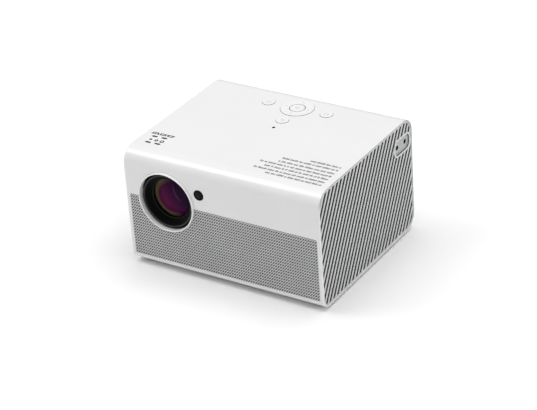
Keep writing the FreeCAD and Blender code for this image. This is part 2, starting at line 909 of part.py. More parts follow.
right_panel = slatted_panel("right_side_panel", 1)
pocket_rear = rear - s.jack_pocket_from_rear
pocket_front = pocket_rear - s.jack_pocket_length
pocket_mid = (pocket_rear + pocket_front) / 2
pocket_z = top - s.jack_pocket_from_top
jack_places = [pocket_mid - s.jack_spacing / 2, pocket_mid + s.jack_spacing / 2]


def pocket_outline(drawing, grow):
    """Outline of the jack pocket, moved out by the given width."""
    drawing.rounded(pocket_front - grow, pocket_rear + grow, pocket_z - s.jack_pocket_height / 2 - grow,
                    pocket_z + s.jack_pocket_height / 2 + grow, s.jack_pocket_round + grow)


drawing = Drawing(right_panel, "YZ", panel_inner)
pocket_outline(drawing, s.jack_pocket_rim)
drawing.pad(half_width - panel_inner)
drawing = Drawing(right_panel, "YZ", half_width)
pocket_outline(drawing, Size.of(0))
drawing.pocket(s.jack_pocket_depth, towards=-1)
drawing = Drawing(right_panel, "YZ", half_width)
for y in jack_places:
    drawing.circle(y, pocket_z, s.jack_window_radius)
drawing.pocket(half_width - panel_inner + cut_clear, towards=-1)

left_panel = slatted_panel("left_side_panel", -1)
window_front = front + s.dial_window_front
window_rear = window_front + s.dial_window_length
window_low = lens_z - s.dial_window_height / 2
window_high = lens_z + s.dial_window_height / 2


def window_outline(drawing, grow):
    """Outline of the dial window, moved out by the given width."""
    drawing.rounded(window_front - grow, window_rear + grow, window_low - grow, window_high + grow,
                    s.dial_window_round + grow)


drawing = Drawing(left_panel, "YZ", -panel_outer)
window_outline(drawing, s.dial_window_rim)
drawing.pad(s.panel_thickness, towards=1)
drawing = Drawing(left_panel, "YZ", -panel_outer)
window_outline(drawing, Size.of(0))
drawing.pocket(s.panel_thickness, towards=1)

screen_inset = s.wall + s.screen_edge
screen_inner = panel_inner - s.screen_thickness
screens = new_body("dust_screens")
for side in (-1, 1):
    drawing = Drawing(screens, "YZ", side * panel_inner)
    case_outline(drawing, screen_inset)
    drawing.pad(s.screen_thickness, towards=-side)

fan_y = rear - s.fan_from_rear - s.fan_size / 2
drawing = Drawing(screens, "YZ", -panel_inner)
drawing.circle(fan_y, lens_z, s.fan_bore_radius)
window_outline(drawing, s.dial_window_rim)
drawing.pocket(s.screen_thickness, towards=1)
drawing = Drawing(screens, "YZ", panel_inner)
pocket_outline(drawing, s.jack_pocket_rim + s.fit_gap)
drawing.pocket(s.screen_thickness, towards=-1)

# ---------------------------------------------------------------- front grille and what it hides

sheet_side = grille_side - s.fit_gap
sheet_low = grille_low + s.fit_gap
sheet_high = grille_high - s.fit_gap
sheet_front = front + s.grille_recess
sheet_back = sheet_front + s.grille_sheet
flange_back = inner_front + s.grille_flange_thickness
bezel_flange_radius = s.bezel_radius + s.bezel_flange

grille = new_body("front_grille")
drawing = Drawing(grille, "XZ", sheet_front)
drawing.rounded(-sheet_side, sheet_side, sheet_low, sheet_high, s.grille_round)
drawing.pad(s.grille_sheet)
drawing = Drawing(grille, "XZ", sheet_back)
drawing.rectangle(-sheet_side, sheet_side, sheet_low + s.grille_round, sheet_high - s.grille_round)
drawing.rectangle(s.grille_sheet - sheet_side, sheet_side - s.grille_sheet,
                  sheet_low + s.grille_round + s.grille_sheet, sheet_high - s.grille_round - s.grille_sheet)
drawing.pad(inner_front - sheet_back)
drawing = Drawing(grille, "XZ", inner_front)
drawing.rectangle(-sheet_side, sheet_side, sheet_low + s.grille_round, sheet_high + s.grille_flange)
drawing.rectangle(s.grille_sheet - sheet_side, sheet_side - s.grille_sheet,
                  sheet_low + s.grille_round + s.grille_sheet, sheet_high - s.grille_round - s.grille_sheet)
drawing.pad(s.grille_flange_thickness)
Drawing(grille, "XZ", sheet_front).circle(lens_x, lens_z, s.bezel_radius + s.fit_gap).pocket(
    s.grille_sheet, towards=1)
Drawing(grille, "XZ", sheet_back).circle(lens_x, lens_z, bezel_flange_radius + s.fit_gap).pocket(
    flange_back - sheet_back + cut_clear, towards=1)

scrim_back = sheet_back + s.scrim_thickness
scrim = new_body("grille_scrim")
drawing = Drawing(scrim, "XZ", sheet_back)
drawing.rectangle(s.grille_sheet + s.fit_gap - sheet_side, sheet_side - s.grille_sheet - s.fit_gap,
                  sheet_low + s.grille_round + s.grille_sheet + s.fit_gap,
                  sheet_high - s.grille_round - s.grille_sheet - s.fit_gap)
drawing.pad(s.scrim_thickness)
Drawing(scrim, "XZ", sheet_back).circle(lens_x, lens_z, bezel_flange_radius + s.fit_gap).pocket(
    s.scrim_thickness, towards=1)

speaker_z = (grille_low + grille_high) / 2
baffle_left = lens_x + s.baffle_from_lens
baffle_right = sheet_side - s.fit_gap
speaker_places = {"left_speaker": (baffle_left * 3 + baffle_right) / 4,
                  "right_speaker": (baffle_left + baffle_right * 3) / 4}
baffle_back = flange_back + s.baffle_thickness
baffle = new_body("speaker_baffle")
drawing = Drawing(baffle, "XZ", flange_back)
drawing.rounded(baffle_left, baffle_right, sheet_low + s.grille_round,
                sheet_high + s.grille_flange, s.grille_round)
for x in speaker_places.values():
    drawing.circle(x, speaker_z, s.speaker_radius - 2 * s.speaker_flange)
drawing.pad(s.baffle_thickness)

for label, x in speaker_places.items():
    flange_end = baffle_back + s.speaker_flange
    basket_end = baffle_back + s.speaker_depth
    cone_edge = s.speaker_radius - 2 * s.speaker_flange
    turned(label, [
        (0, basket_end - 2 * s.speaker_flange), (s.magnet_radius / 2, basket_end - 2 * s.speaker_flange),
        (cone_edge, baffle_back), (s.speaker_radius, baffle_back), (s.speaker_radius, flange_end),
        (s.magnet_radius, basket_end), (s.magnet_radius, basket_end + s.magnet_depth),
        (0, basket_end + s.magnet_depth)], x=x, z=speaker_z, along="y")

bezel = turned("lens_bezel", [
    (s.bezel_radius - s.bezel_rim, bezel_front), (s.bezel_radius, bezel_front),
    (s.bezel_radius, inner_front), (bezel_flange_radius, inner_front),
    (bezel_flange_radius, inner_front + s.bezel_flange_thickness),
    (s.bezel_radius - s.bezel_rim, inner_front + s.bezel_flange_thickness)],
    x=lens_x, z=lens_z, along="y")
rim_edges = edges_where(bezel.Tip, lambda box, edge: box.ZMax < bezel_front.value + 0.01)
round_off(bezel, bezel.Tip, rim_edges, s.bezel_rounding)
drawing = Drawing(bezel, "XY", inner_front)
drawing.rectangle(-bezel_flange_radius, bezel_flange_radius, -bezel_flange_radius - cut_clear,
                  s.bezel_trim - s.bezel_radius)
drawing.pocket(s.bezel_flange_thickness, towards=1)

window_front_y = front - s.ir_proud
ir_flange = s.ir_radius + s.bezel_flange_thickness
turned("ir_window", [
    (0, window_front_y), (s.ir_radius, window_front_y), (s.ir_radius, inner_front),
    (ir_flange, inner_front), (ir_flange, inner_front + s.bezel_flange_thickness),
    (0, inner_front + s.bezel_flange_thickness)], x=ir_x, z=ir_z, along="y")
ir_board_y = inner_front + s.bezel_flange_thickness
half_board = s.ir_board_size / 2
ir_board = block("ir_board", (ir_x - half_board, ir_x + half_board),
                 (ir_board_y, ir_board_y + s.ir_board_thickness), (ir_z - half_board, ir_z + half_board))
ir_sensor = rod("ir_sensor", s.ir_radius / 2, s.ir_radius, x=ir_x,
                y=ir_board_y + s.ir_board_thickness, z=ir_z, along="y")
keep("ir_receiver", joined("ir_receiver", ir_board, ir_sensor))

# ---------------------------------------------------------------- lens, its carrier and dials

carrier_inner = s.barrel_radius + s.running_gap
carrier_outer = carrier_inner + s.carrier_wall
mount_inner = carrier_outer + s.tilt_room
mount_outer = mount_inner + s.mount_wall
trunnion_y = mount_front + s.trunnion_from_front
flange_front = engine_start - s.mount_flange_thickness
barrel_rear = hood_rear + s.barrel_length
glass_front = hood_front + s.hood_depth
glass_rear = glass_front + s.front_glass_thickness
rear_glass_end = barrel_rear - s.rear_glass_inset
rear_seat = rear_glass_end - s.rear_glass_thickness
at_lens = {"x": lens_x, "z": lens_z, "along": "y"}

mount = turned("lens_mount", [
    (mount_inner, mount_front), (mount_outer, mount_front), (mount_outer, flange_front),
    (mount_outer + s.mount_flange, flange_front), (mount_outer + s.mount_flange, engine_start),
    (mount_inner, engine_start)], **at_lens)
Drawing(mount, "YZ", -mount_outer).circle(0, trunnion_y, s.trunnion_radius + s.running_gap).pocket(
    mount_outer * 2, towards=1)

carrier = turned("lens_carrier", [
    (carrier_inner, mount_front), (carrier_outer, mount_front),
    (carrier_outer, mount_front + s.carrier_length), (carrier_inner, mount_front + s.carrier_length)],
    **at_lens)
trunnion_end = mount_outer - s.running_gap * 4
for side in (-1, 1):
    root = carrier_inner + s.carrier_wall / 2
    Drawing(carrier, "YZ", side * root).circle(0, trunnion_y, s.trunnion_radius).pad(
        trunnion_end - root, towards=side)

barrel = turned("lens_barrel", [
    (s.hood_radius, hood_front), (s.hood_radius - s.hood_lip, hood_front),
    (s.front_glass_radius, glass_front), (s.front_glass_radius, glass_rear),
    (s.front_glass_radius - s.glass_shoulder, glass_rear),
    (s.front_glass_radius - s.glass_shoulder, rear_seat), (s.rear_glass_radius, rear_seat),
    (s.rear_glass_radius, barrel_rear), (s.barrel_radius, barrel_rear), (s.barrel_radius, hood_rear),
    (s.hood_radius, hood_rear)], **at_lens)

for label, radius, thickness, curve, start, middle in (
        ("front_glass", s.front_glass_radius, s.front_glass_thickness, s.front_glass_curve,
         glass_front, glass_front + s.front_glass_curve),
        ("rear_glass", s.rear_glass_radius, s.rear_glass_thickness, s.rear_glass_curve,
         rear_seat, rear_glass_end - s.rear_glass_curve)):
    slug = rod(f"{label}_slug", radius, thickness, x=lens_x, y=start, z=lens_z, along="y")
    curved = ball(f"{label}_curve", curve, x=lens_x, y=middle, z=lens_z)
    keep(label, common(label, slug, curved))

keystone_rear = flange_front - s.dial_gap
keystone_front = keystone_rear - s.dial_width
spacer_rear = keystone_front - s.dial_gap
spacer_front = spacer_rear - s.collar_width
focus_rear = spacer_front - s.dial_gap
focus_front = focus_rear - s.dial_width
retainer_rear = focus_front - s.dial_gap
retainer_front = retainer_rear - s.collar_width
dial_bore = mount_outer + s.running_gap
web_inset = s.dial_width / 3
for label, low, high in (("focus_dial", focus_front, focus_rear),
                         ("keystone_dial", keystone_front, keystone_rear)):
    hub_edge = dial_bore + s.collar_height
    rim_edge = s.dial_radius - s.collar_height
    dial = turned(label, [
        (dial_bore, low), (hub_edge, low), (hub_edge, low + web_inset), (rim_edge, low + web_inset),
        (rim_edge, low), (s.dial_radius, low), (s.dial_radius, high), (rim_edge, high),
        (rim_edge, high - web_inset), (hub_edge, high - web_inset), (hub_edge, high),
        (dial_bore, high)], **at_lens)
    notch = Drawing(dial, "XY", low).circle(s.dial_radius, 0, s.dial_notch_radius).pocket(
        s.dial_width, towards=1)
    repeat_round(dial, notch, s.dial_notches)
collars = new_body("dial_collars", **at_lens)
drawing = Drawing(collars, "XZ")
for low, high in ((spacer_front, spacer_rear), (retainer_front, retainer_rear)):
    drawing.rectangle(mount_outer, mount_outer + s.collar_height, low, high)
drawing.turn()

# ---------------------------------------------------------------- light engine and fan

half_engine = s.engine_size / 2
half_bay = half_engine - s.engine_wall
engine = new_body("light_engine_case")
drawing = Drawing(engine, "XZ", engine_start)
drawing.rectangle(engine_left, engine_right, engine_low, engine_high)
drawing.rectangle(lens_x - half_bay, lens_x + half_bay, lens_z - half_bay, lens_z + half_bay)
drawing.pad(s.engine_length)
drawing = Drawing(engine, "XZ", engine_start)
drawing.rectangle(engine_left, engine_right, engine_low, engine_high)
drawing.circle(lens_x, lens_z, s.engine_port_radius)
drawing.pad(s.engine_wall)


def bay_plate(label, start, thickness):
    """A square plate that fills the light engine's bay."""
    return block(label, (lens_x - half_bay, lens_x + half_bay), (start, start + thickness),
                 (lens_z - half_bay, lens_z + half_bay))


fresnels = [bay_plate("field_fresnel", engine_start + s.field_fresnel_place, s.fresnel_thickness),
            bay_plate("lamp_fresnel", engine_start + s.lamp_fresnel_place, s.fresnel_thickness)]
keep("fresnel_lenses", joined("fresnel_lenses", *fresnels))

display_y = engine_start + s.display_place
frame_plate = bay_plate("display_plate", display_y, s.display_thickness)
window_depth = s.display_thickness / 3
display_windows = [
    block(f"display_window_{i}",
          (lens_x - s.display_window_width / 2, lens_x + s.display_window_width / 2), span,
          (lens_z - s.display_window_height / 2, lens_z + s.display_window_height / 2))
    for i, span in enumerate(((display_y, display_y + window_depth),
                              (display_y + window_depth * 2, display_y + s.display_thickness)))]
keep("display_panel", cut("display_panel", frame_plate, *display_windows))

condenser_y = engine_start + s.condenser_place
condenser_dome = common(
    "condenser_dome",
    ball("condenser_curve", s.condenser_curve, x=lens_x, y=condenser_y + s.condenser_centre, z=lens_z),
    rod("condenser_slug", s.condenser_radius, s.condenser_curve, x=lens_x,
        y=condenser_y - s.condenser_curve, z=lens_z, along="y"))
condenser_plate = bay_plate("condenser_plate", condenser_y, s.condenser_flange)
keep("condenser_lens", joined("condenser_lens", condenser_plate, condenser_dome))

led_y = engine_end - s.sink_plug - s.led_board_thickness
led_plate = bay_plate("led_plate", led_y, s.led_board_thickness)
led_chip = block("led_chip", (lens_x - s.led_size / 2, lens_x + s.led_size / 2),
                 (led_y - s.led_height, led_y), (lens_z - s.led_size / 2, lens_z + s.led_size / 2))
keep("led_board", joined("led_board", led_plate, led_chip))

sink = new_body("heat_sink")
drawing = Drawing(sink, "XZ", engine_end)
drawing.rectangle(engine_left, engine_right, engine_low, engine_high)
drawing.pad(s.sink_base)
drawing = Drawing(sink, "XZ", engine_end)
drawing.rectangle(lens_x - half_bay, lens_x + half_bay, lens_z - half_bay, lens_z + half_bay)
drawing.pad(s.sink_plug, towards=-1)
drawing = Drawing(sink, "XZ", engine_end + s.sink_base)
drawing.rectangle(engine_left, engine_right, engine_low, engine_low + s.fin_thickness)
fin = drawing.pad(inner_rear - s.sink_from_rear - engine_end - s.sink_base)
repeat_line(drawing, fin, "V_Axis", (s.engine_size - s.fin_thickness) / (s.fin_count - 1), s.fin_count)

half_fan = s.fan_size / 2
hole_place = half_fan - s.fan_hole_from_side
at_fan = {"x": engine_left - s.fan_depth, "y": fan_y, "z": lens_z, "along": "x"}
fan_frame = new_body("fan_frame", **at_fan)
drawing = Drawing(fan_frame, "XY")
drawing.rounded(-half_fan, half_fan, -half_fan, half_fan, s.fan_corner)
drawing.circle(0, 0, s.fan_bore_radius)
for x in (-1, 1):
    for y in (-1, 1):
        drawing.circle(x * hole_place, y * hole_place, s.fan_corner_hole)
drawing.pad(s.fan_depth)
Drawing(fan_frame, "XY").circle(0, 0, s.fan_hub_radius).pad(s.fan_strut_depth)
drawing = Drawing(fan_frame, "XY")
drawing.rectangle(s.fan_hub_radius - cut_clear, s.fan_bore_radius + s.fan_strut_width / 4,
                  -s.fan_strut_width / 2, s.fan_strut_width / 2)
strut = drawing.pad(s.fan_strut_depth)
repeat_round(fan_frame, strut, Size.of(4))
Drawing(fan_frame, "XY").circle(0, 0, s.fan_shaft_radius + s.running_gap).pocket(
    s.fan_strut_depth, towards=1)

rotor_low = s.fan_strut_depth + s.dial_gap
rotor_high = s.fan_depth - s.dial_gap
rotor = turned("fan_rotor", [
    (0, s.running_gap), (s.fan_shaft_radius, s.running_gap), (s.fan_shaft_radius, rotor_low),
    (s.fan_hub_radius, rotor_low), (s.fan_hub_radius, rotor_high), (0, rotor_high)], **at_fan)
blade_run = s.fan_blade_width * cosine(s.fan_blade_pitch)
blade_rise = blade_run * tangent(s.fan_blade_pitch)
blade_half = s.fan_blade_thickness / cosine(s.fan_blade_pitch) / 2
blade_mid = (rotor_low + rotor_high) / 2
drawing = Drawing(rotor, "YZ", s.fan_hub_radius - cut_clear)
drawing.polygon([(-blade_run, blade_mid - blade_rise - blade_half),
                 (blade_run, blade_mid + blade_rise - blade_half),
                 (blade_run, blade_mid + blade_rise + blade_half),
                 (-blade_run, blade_mid - blade_rise + blade_half)])
blade = drawing.pad(s.fan_bore_radius - s.fan_blade_gap - s.fan_hub_radius + cut_clear)
repeat_round(rotor, blade, s.fan_blade_count)

# ---------------------------------------------------------------- keys and their board

key_board_top = key_board_z + s.board_thickness
key_top = top + s.key_proud
key_low = key_board_top + s.switch_height + s.key_travel + 2 * s.running_gap
flange_high = inner_top - 2 * s.fit_gap
key_board = new_body("key_board")
drawing = Drawing(key_board, "XY", key_board_z)
drawing.rectangle(-s.key_board_width / 2, s.key_board_width / 2, key_board_start, key_board_rear)
drawing.pad(s.board_thickness)
ring_low = key_top - s.ring_height - s.ring_sink
cradle_high = ring_low - s.pivot_height
cradle_low = cradle_high - s.cradle_thickness
drawing = Drawing(key_board, "XY", key_board_top)
for x, y in [*key_places.values(), (0, ring_y), (0, ring_y - s.pivot_spread), (0, ring_y + s.pivot_spread)]:
    drawing.circle(x, y, s.switch_radius)
drawing.pad(s.switch_height)
cradle_pivot_z = cradle_low - s.running_gap - s.pivot_ridge
ring_pivot_z = ring_low - s.running_gap - s.pivot_ridge
drawing = Drawing(key_board, "XY", key_board_top)
for side in (-1, 1):
    drawing.circle(side * s.pivot_spread, ring_y, s.pivot_radius)
drawing.pad(cradle_pivot_z - key_board_top)
for side in (-1, 1):
    Drawing(key_board, "YZ", side * s.pivot_spread - s.pivot_radius).circle(
        ring_y, cradle_pivot_z, s.pivot_ridge).pad(2 * s.pivot_radius)


def key(label, x, y, radius, flange_radius, collar_high):
    """A round push key: stem, retaining collar and cap with a rounded edge."""
    collar_low = collar_high - s.key_flange_thickness
    body = turned(label, [
        (0, key_low), (s.key_stem_radius, key_low), (s.key_stem_radius, collar_low),
        (flange_radius, collar_low), (flange_radius, collar_high), (radius, collar_high),
        (radius, key_top), (0, key_top)], x=x, y=y)
    rim = edges_where(body.Tip, lambda box, edge: box.ZMin > key_top.value - 0.01 and edge.Closed)
    round_off(body, body.Tip, rim, s.key_proud)


for label, (x, y) in key_places.items():
    key(label, x, y, s.key_radius, s.key_radius + s.key_flange, flange_high)
key("ok_key", Size.of(0), ring_y, s.ok_radius, s.ok_radius + s.key_flange, ring_low - s.key_gap * 2)

cradle = turned("ring_cradle", [
    (s.cradle_hole_radius, cradle_low), (s.cradle_radius, cradle_low),
    (s.cradle_radius, cradle_high), (s.cradle_hole_radius, cradle_high)], y=ring_y)
for side in (-1, 1):
    Drawing(cradle, "XZ", side * s.pivot_spread - s.pivot_radius).circle(
        0, ring_pivot_z, s.pivot_ridge).pad(2 * s.pivot_radius)

ring_hole = s.ok_radius + 2 * s.key_gap
ring = turned("navigation_ring", [
    (ring_hole, ring_low), (s.ring_radius + s.key_flange, ring_low),
    (s.ring_radius + s.key_flange, ring_low + s.key_flange_thickness),
    (s.ring_radius, ring_low + s.key_flange_thickness), (s.ring_radius, key_top),
    (ring_hole, key_top)], y=ring_y)
rim = edges_where(ring.Tip, lambda box, edge: box.ZMin > key_top.value - 0.01 and edge.Closed)
round_off(ring, ring.Tip, rim, s.key_proud)

light_shoulder = s.light_radius + s.key_flange
turned("status_light", [
    (0, key_board_top), (s.light_radius, key_board_top), (s.light_radius, inner_top - s.key_flange),
    (light_shoulder, inner_top - s.key_flange), (light_shoulder, inner_top),
    (s.light_radius, inner_top), (s.light_radius, top), (0, top)], y=light_y)

# ---------------------------------------------------------------- disc drive

tray_side = s.drive_width / 2 - s.drive_sheet - 2 * s.slide_gap - s.rail_thickness
tray_low = drive_low + s.drive_sheet + s.tray_lift
tray_high = tray_low + s.tray_thickness
tray_start = drive_start + s.drive_sheet + s.tray_start_gap
disc_y = tray_front_y - s.disc_from_front
disc_floor = tray_high - s.disc_recess
web_low = disc_floor - s.tray_web
window_end = disc_y - s.motor_radius
rib_spots = [(-s.rod_spread, s.rib_width), (s.rod_spread, s.rib_width), (s.lead_screw_spread, s.rib_width)]

drive_box = block("drive_box", (drive_left, drive_right), (drive_start, drive_end), (drive_low, drive_high))
drive_bay = block("drive_bay", (drive_left + s.drive_sheet, drive_right - s.drive_sheet),
                  (drive_start + s.drive_sheet, drive_end + cut_clear),
                  (drive_low + s.drive_sheet, drive_high - s.drive_sheet))
keep("drive_case", cut("drive_case", drive_box, drive_bay))

rail_z = (tray_low + tray_high) / 2
rails = []
for side in (-1, 1):
    middle = drive_x + side * (tray_side + s.slide_gap + s.rail_thickness / 2)
    rails.append(block(f"rail_{side + 2}", (middle - s.rail_thickness / 2, middle + s.rail_thickness / 2),
                       (tray_start, tray_start + s.rail_length),
                       (rail_z - s.rail_height / 2, rail_z + s.rail_height / 2)))
keep("tray_rails", joined("tray_rails", *rails))

tray = new_body("disc_tray", x=drive_x)
drawing = Drawing(tray, "XY", tray_low)
drawing.rectangle(-tray_side, tray_side, tray_start, tray_front_y)
drawing.pad(s.tray_thickness)
Drawing(tray, "XY", tray_high).circle(0, disc_y, s.disc_radius + s.disc_gap).pocket(s.disc_recess)
drawing = Drawing(tray, "XY", tray_low)
drawing.rectangle(s.tray_wall - tray_side, tray_side - s.tray_wall, tray_start + s.tray_wall,
                  tray_front_y - s.tray_wall)
drawing.pocket(web_low - tray_low, towards=1)
Drawing(tray, "XY", tray_high).circle(0, disc_y, s.spindle_hole_radius).pocket(s.tray_thickness)
drawing = Drawing(tray, "XY", tray_high)
drawing.rectangle(-s.sled_window_width / 2, s.sled_window_width / 2, tray_start + s.tray_wall, window_end)
drawing.pocket(s.tray_thickness)
drawing = Drawing(tray, "XY", disc_floor)
for place_across, width in rib_spots:
    drawing.rectangle(place_across - width / 2, place_across + width / 2, window_end,
                      window_end + s.rib_thickness)
drawing.pad(disc_floor - tray_low - s.sled_lift, towards=-1)

tray_front = new_body("tray_front")
drawing = Drawing(tray_front, "XZ", tray_front_y)
drawing.rounded(front_left, front_right, front_low, front_high, s.grille_round)
eject_x = front_right - s.eject_from_side
eject_z = (front_low + front_high) / 2
grow = s.eject_gap
drawing.rectangle(eject_x - s.eject_width / 2 - grow, eject_x + s.eject_width / 2 + grow,
                  eject_z - s.eject_height / 2 - grow, eject_z + s.eject_height / 2 + grow)
drawing.pad(s.front_thickness)
eject = block("eject_key", (eject_x - s.eject_width / 2, eject_x + s.eject_width / 2),
              (tray_front_y + s.eject_travel + 2 * s.running_gap, rear - s.running_gap),
              (eject_z - s.eject_height / 2, eject_z + s.eject_height / 2))
keep("eject_key", eject)

at_disc = {"x": drive_x, "y": disc_y}
motor_low = web_low - s.motor_height
turned("spindle_motor", [
    (s.spindle_shaft_radius + s.running_gap, motor_low), (s.motor_radius, motor_low),
    (s.motor_radius, web_low), (s.spindle_shaft_radius + s.running_gap, web_low)], **at_disc)
turntable_low = web_low + s.turntable_lift
turntable_high = turntable_low + s.turntable_thickness
turned("spindle_hub", [
    (0, motor_low), (s.spindle_shaft_radius, motor_low), (s.spindle_shaft_radius, turntable_low),
    (s.turntable_radius, turntable_low), (s.turntable_radius, turntable_high),
    (s.hub_radius, turntable_high), (s.hub_radius - s.running_gap * 4, turntable_high + s.hub_height),
    (0, turntable_high + s.hub_height)], **at_disc)

sled_lens_y = disc_y - s.sled_start
sled_high_y = sled_lens_y + s.sled_lens_inset
sled_low_y = sled_high_y - s.sled_length
sled_low = tray_low + s.sled_lift
sled_high = sled_low + s.sled_height
rod_z = (sled_low + sled_high) / 2
rod_start = tray_start + s.tray_wall
sled = new_body("pickup_sled", x=drive_x)
finger_end = s.sled_width / 2 + s.sled_finger
finger_mid = (sled_low_y + sled_high_y) / 2
drawing = Drawing(sled, "XY", sled_low)
drawing.rectangle(-s.sled_width / 2, s.sled_width / 2, sled_low_y, sled_high_y)
drawing.pad(s.sled_height)
drawing = Drawing(sled, "XY", sled_low)
drawing.rectangle(s.sled_width / 2 - cut_clear, finger_end, finger_mid - s.rib_thickness / 2,
                  finger_mid + s.rib_thickness / 2)
drawing.pad(s.sled_height - s.sled_lift)
Drawing(sled, "XY", sled_high).circle(0, sled_lens_y, s.sled_lens_radius).pad(s.sled_lens_height)
drawing = Drawing(sled, "XZ", sled_low_y)
for side in (-1, 1):
    drawing.circle(side * s.rod_spread, rod_z, s.rod_radius + s.running_gap)
drawing.pocket(s.sled_length, towards=1)

rods = [rod(f"guide_rod_{side + 2}", s.rod_radius, window_end - rod_start, x=drive_x + side * s.rod_spread,
            y=rod_start, z=rod_z, along="y") for side in (-1, 1)]
keep("guide_rods", joined("guide_rods", *rods))
screw_length = window_end - rod_start - 2 * s.running_gap
keep("lead_screw", rod("lead_screw", s.lead_screw_radius, screw_length, x=drive_x + s.lead_screw_spread,
                       y=rod_start + s.running_gap, z=rod_z, along="y"))

# ---------------------------------------------------------------- boards, sockets and inlet

main_board = new_body("main_board")
drawing = Drawing(main_board, "XY", board_z)
drawing.rectangle(board_left, board_right, board_start, board_rear)
drawing.pad(s.board_thickness)
chip_x = (board_left + board_right) / 2
chip_y = (board_start + board_rear) / 2
half_chip = s.chip_size / 2
drawing = Drawing(main_board, "XY", socket_low)
drawing.rectangle(chip_x - half_chip, chip_x + half_chip, chip_y - half_chip, chip_y + half_chip)
for side in (-1, 1):
    memory_x = chip_x + side * (s.chip_size + s.memory_width)
    drawing.rectangle(memory_x - s.memory_width / 2, memory_x + s.memory_width / 2,
                      chip_y - s.memory_length / 2, chip_y + s.memory_length / 2)
drawing.pad(s.chip_height)
standoff_places = [(x, y)
                   for x in (board_left + s.standoff_inset, board_right - s.standoff_inset)
                   for y in (board_start + s.standoff_inset, board_rear - s.rear_standoff_inset)]
standoffs = [rod(f"standoff_{i}", s.standoff_radius, s.main_board_lift, x=x, y=y, z=drive_high)
             for i, (x, y) in enumerate(standoff_places)]
keep("board_standoffs", joined("board_standoffs", *standoffs))

for label, x, width, height, tongue in (
        ("hdmi_socket", hdmi_x, s.hdmi_width, s.hdmi_height, s.hdmi_height / 4),
        ("usb_socket", usb_x, s.usb_width, s.usb_height, s.usb_height / 3)):
    start = socket_end - s.socket_depth
    shellbox = block(f"{label}_shell", (x - width / 2, x + width / 2), (start, socket_end),
                     (socket_low, socket_low + height))
    cavity = block(f"{label}_cavity", (x - width / 2 + s.socket_shell, x + width / 2 - s.socket_shell),
                   (start + 2 * s.socket_recess, socket_end + cut_clear),
                   (socket_low + s.socket_shell, socket_low + height - s.socket_shell))
    middle = socket_low + height / 2
    blade = block(f"{label}_tongue", (x - width / 2 + 3 * s.socket_shell, x + width / 2 - 3 * s.socket_shell),
                  (start + s.socket_recess, socket_end - s.socket_recess),
                  (middle - tongue / 2, middle + tongue / 2))
    keep(label, joined(label, cut(f"{label}_hollow", shellbox, cavity), blade))

inlet_start = rear - s.inlet_depth
inlet = new_body("power_inlet")
drawing = Drawing(inlet, "XZ", inlet_start)
drawing.rectangle(inlet_x - s.inlet_width / 2, inlet_x + s.inlet_width / 2,
                  inlet_z - s.inlet_height / 2, inlet_z + s.inlet_height / 2)
drawing.pad(s.inlet_depth)
drawing = Drawing(inlet, "XZ", inner_rear)
drawing.rectangle(inlet_x - s.inlet_width / 2 - s.inlet_flange,
                  inlet_x + s.inlet_width / 2 + s.inlet_flange,
                  inlet_z - s.inlet_height / 2 - s.inlet_flange,
                  inlet_z + s.inlet_height / 2 + s.inlet_flange)
drawing.pad(s.bezel_flange_thickness, towards=-1)
drawing = Drawing(inlet, "XZ", rear)
drawing.rounded(inlet_x - s.inlet_recess_width / 2, inlet_x + s.inlet_recess_width / 2,
                inlet_z - s.inlet_recess_height / 2, inlet_z + s.inlet_recess_height / 2,
                s.inlet_recess_height / 2 - s.running_gap)
drawing.pocket(s.inlet_recess_depth, towards=-1)
drawing = Drawing(inlet, "XZ", rear - s.inlet_recess_depth)
for side in (-1, 1):
    drawing.circle(inlet_x + side * s.inlet_pin_spread, inlet_z, s.inlet_pin_radius)
drawing.pad(s.inlet_pin_length)

power_board = new_body("power_board")
drawing = Drawing(power_board, "XY", power_z)
drawing.rectangle(power_left, power_right, power_start, power_end)
drawing.pad(s.board_thickness)
soldered_z = power_z + s.board_thickness
half_core = s.transformer_size / 2
drawing = Drawing(power_board, "XY", soldered_z)
drawing.rectangle(power_x - half_core, power_x + half_core, power_mid - half_core, power_mid + half_core)
drawing.pad(s.transformer_height)
drawing = Drawing(power_board, "XY", soldered_z)
for number in (0, 1):
    drawing.circle(power_x, power_mid + half_core + 2 * s.capacitor_radius
                   + number * (2 * s.capacitor_radius + s.capacitor_gap), s.capacitor_radius)
drawing.pad(s.capacitor_height)

jack_start = panel_inner - s.jack_body_length
half_jack = s.jack_body_width / 2
jacks = []
for number, y in enumerate(jack_places):
    body_block = block(f"jack_block_{number}", (jack_start, panel_inner), (y - half_jack, y + half_jack),
                       (pocket_z - half_jack, pocket_z + half_jack))
    bore = rod(f"jack_bore_{number}", s.jack_hole_radius, s.jack_body_length - s.jack_bore_end,
               x=jack_start + s.jack_bore_end, y=y, z=pocket_z, along="x")
    jacks.append(cut(f"jack_{number}", body_block, bore))
keep("audio_jacks", joined("audio_jacks", *jacks))
keep("jack_board", block("jack_board", (jack_start - s.board_thickness, jack_start),
                         (pocket_front, pocket_rear),
                         (pocket_z - s.jack_pocket_height / 2, pocket_z + s.jack_pocket_height / 2)))

# ---------------------------------------------------------------- feet, insert and screws

feet = [rod(f"rubber_foot_{i}", s.rubber_foot_radius, s.foot_height + s.rubber_foot_seat, x=x, y=y)
        for i, (x, y) in enumerate(foot_places)]
keep("rubber_feet", joined("rubber_feet", *feet))

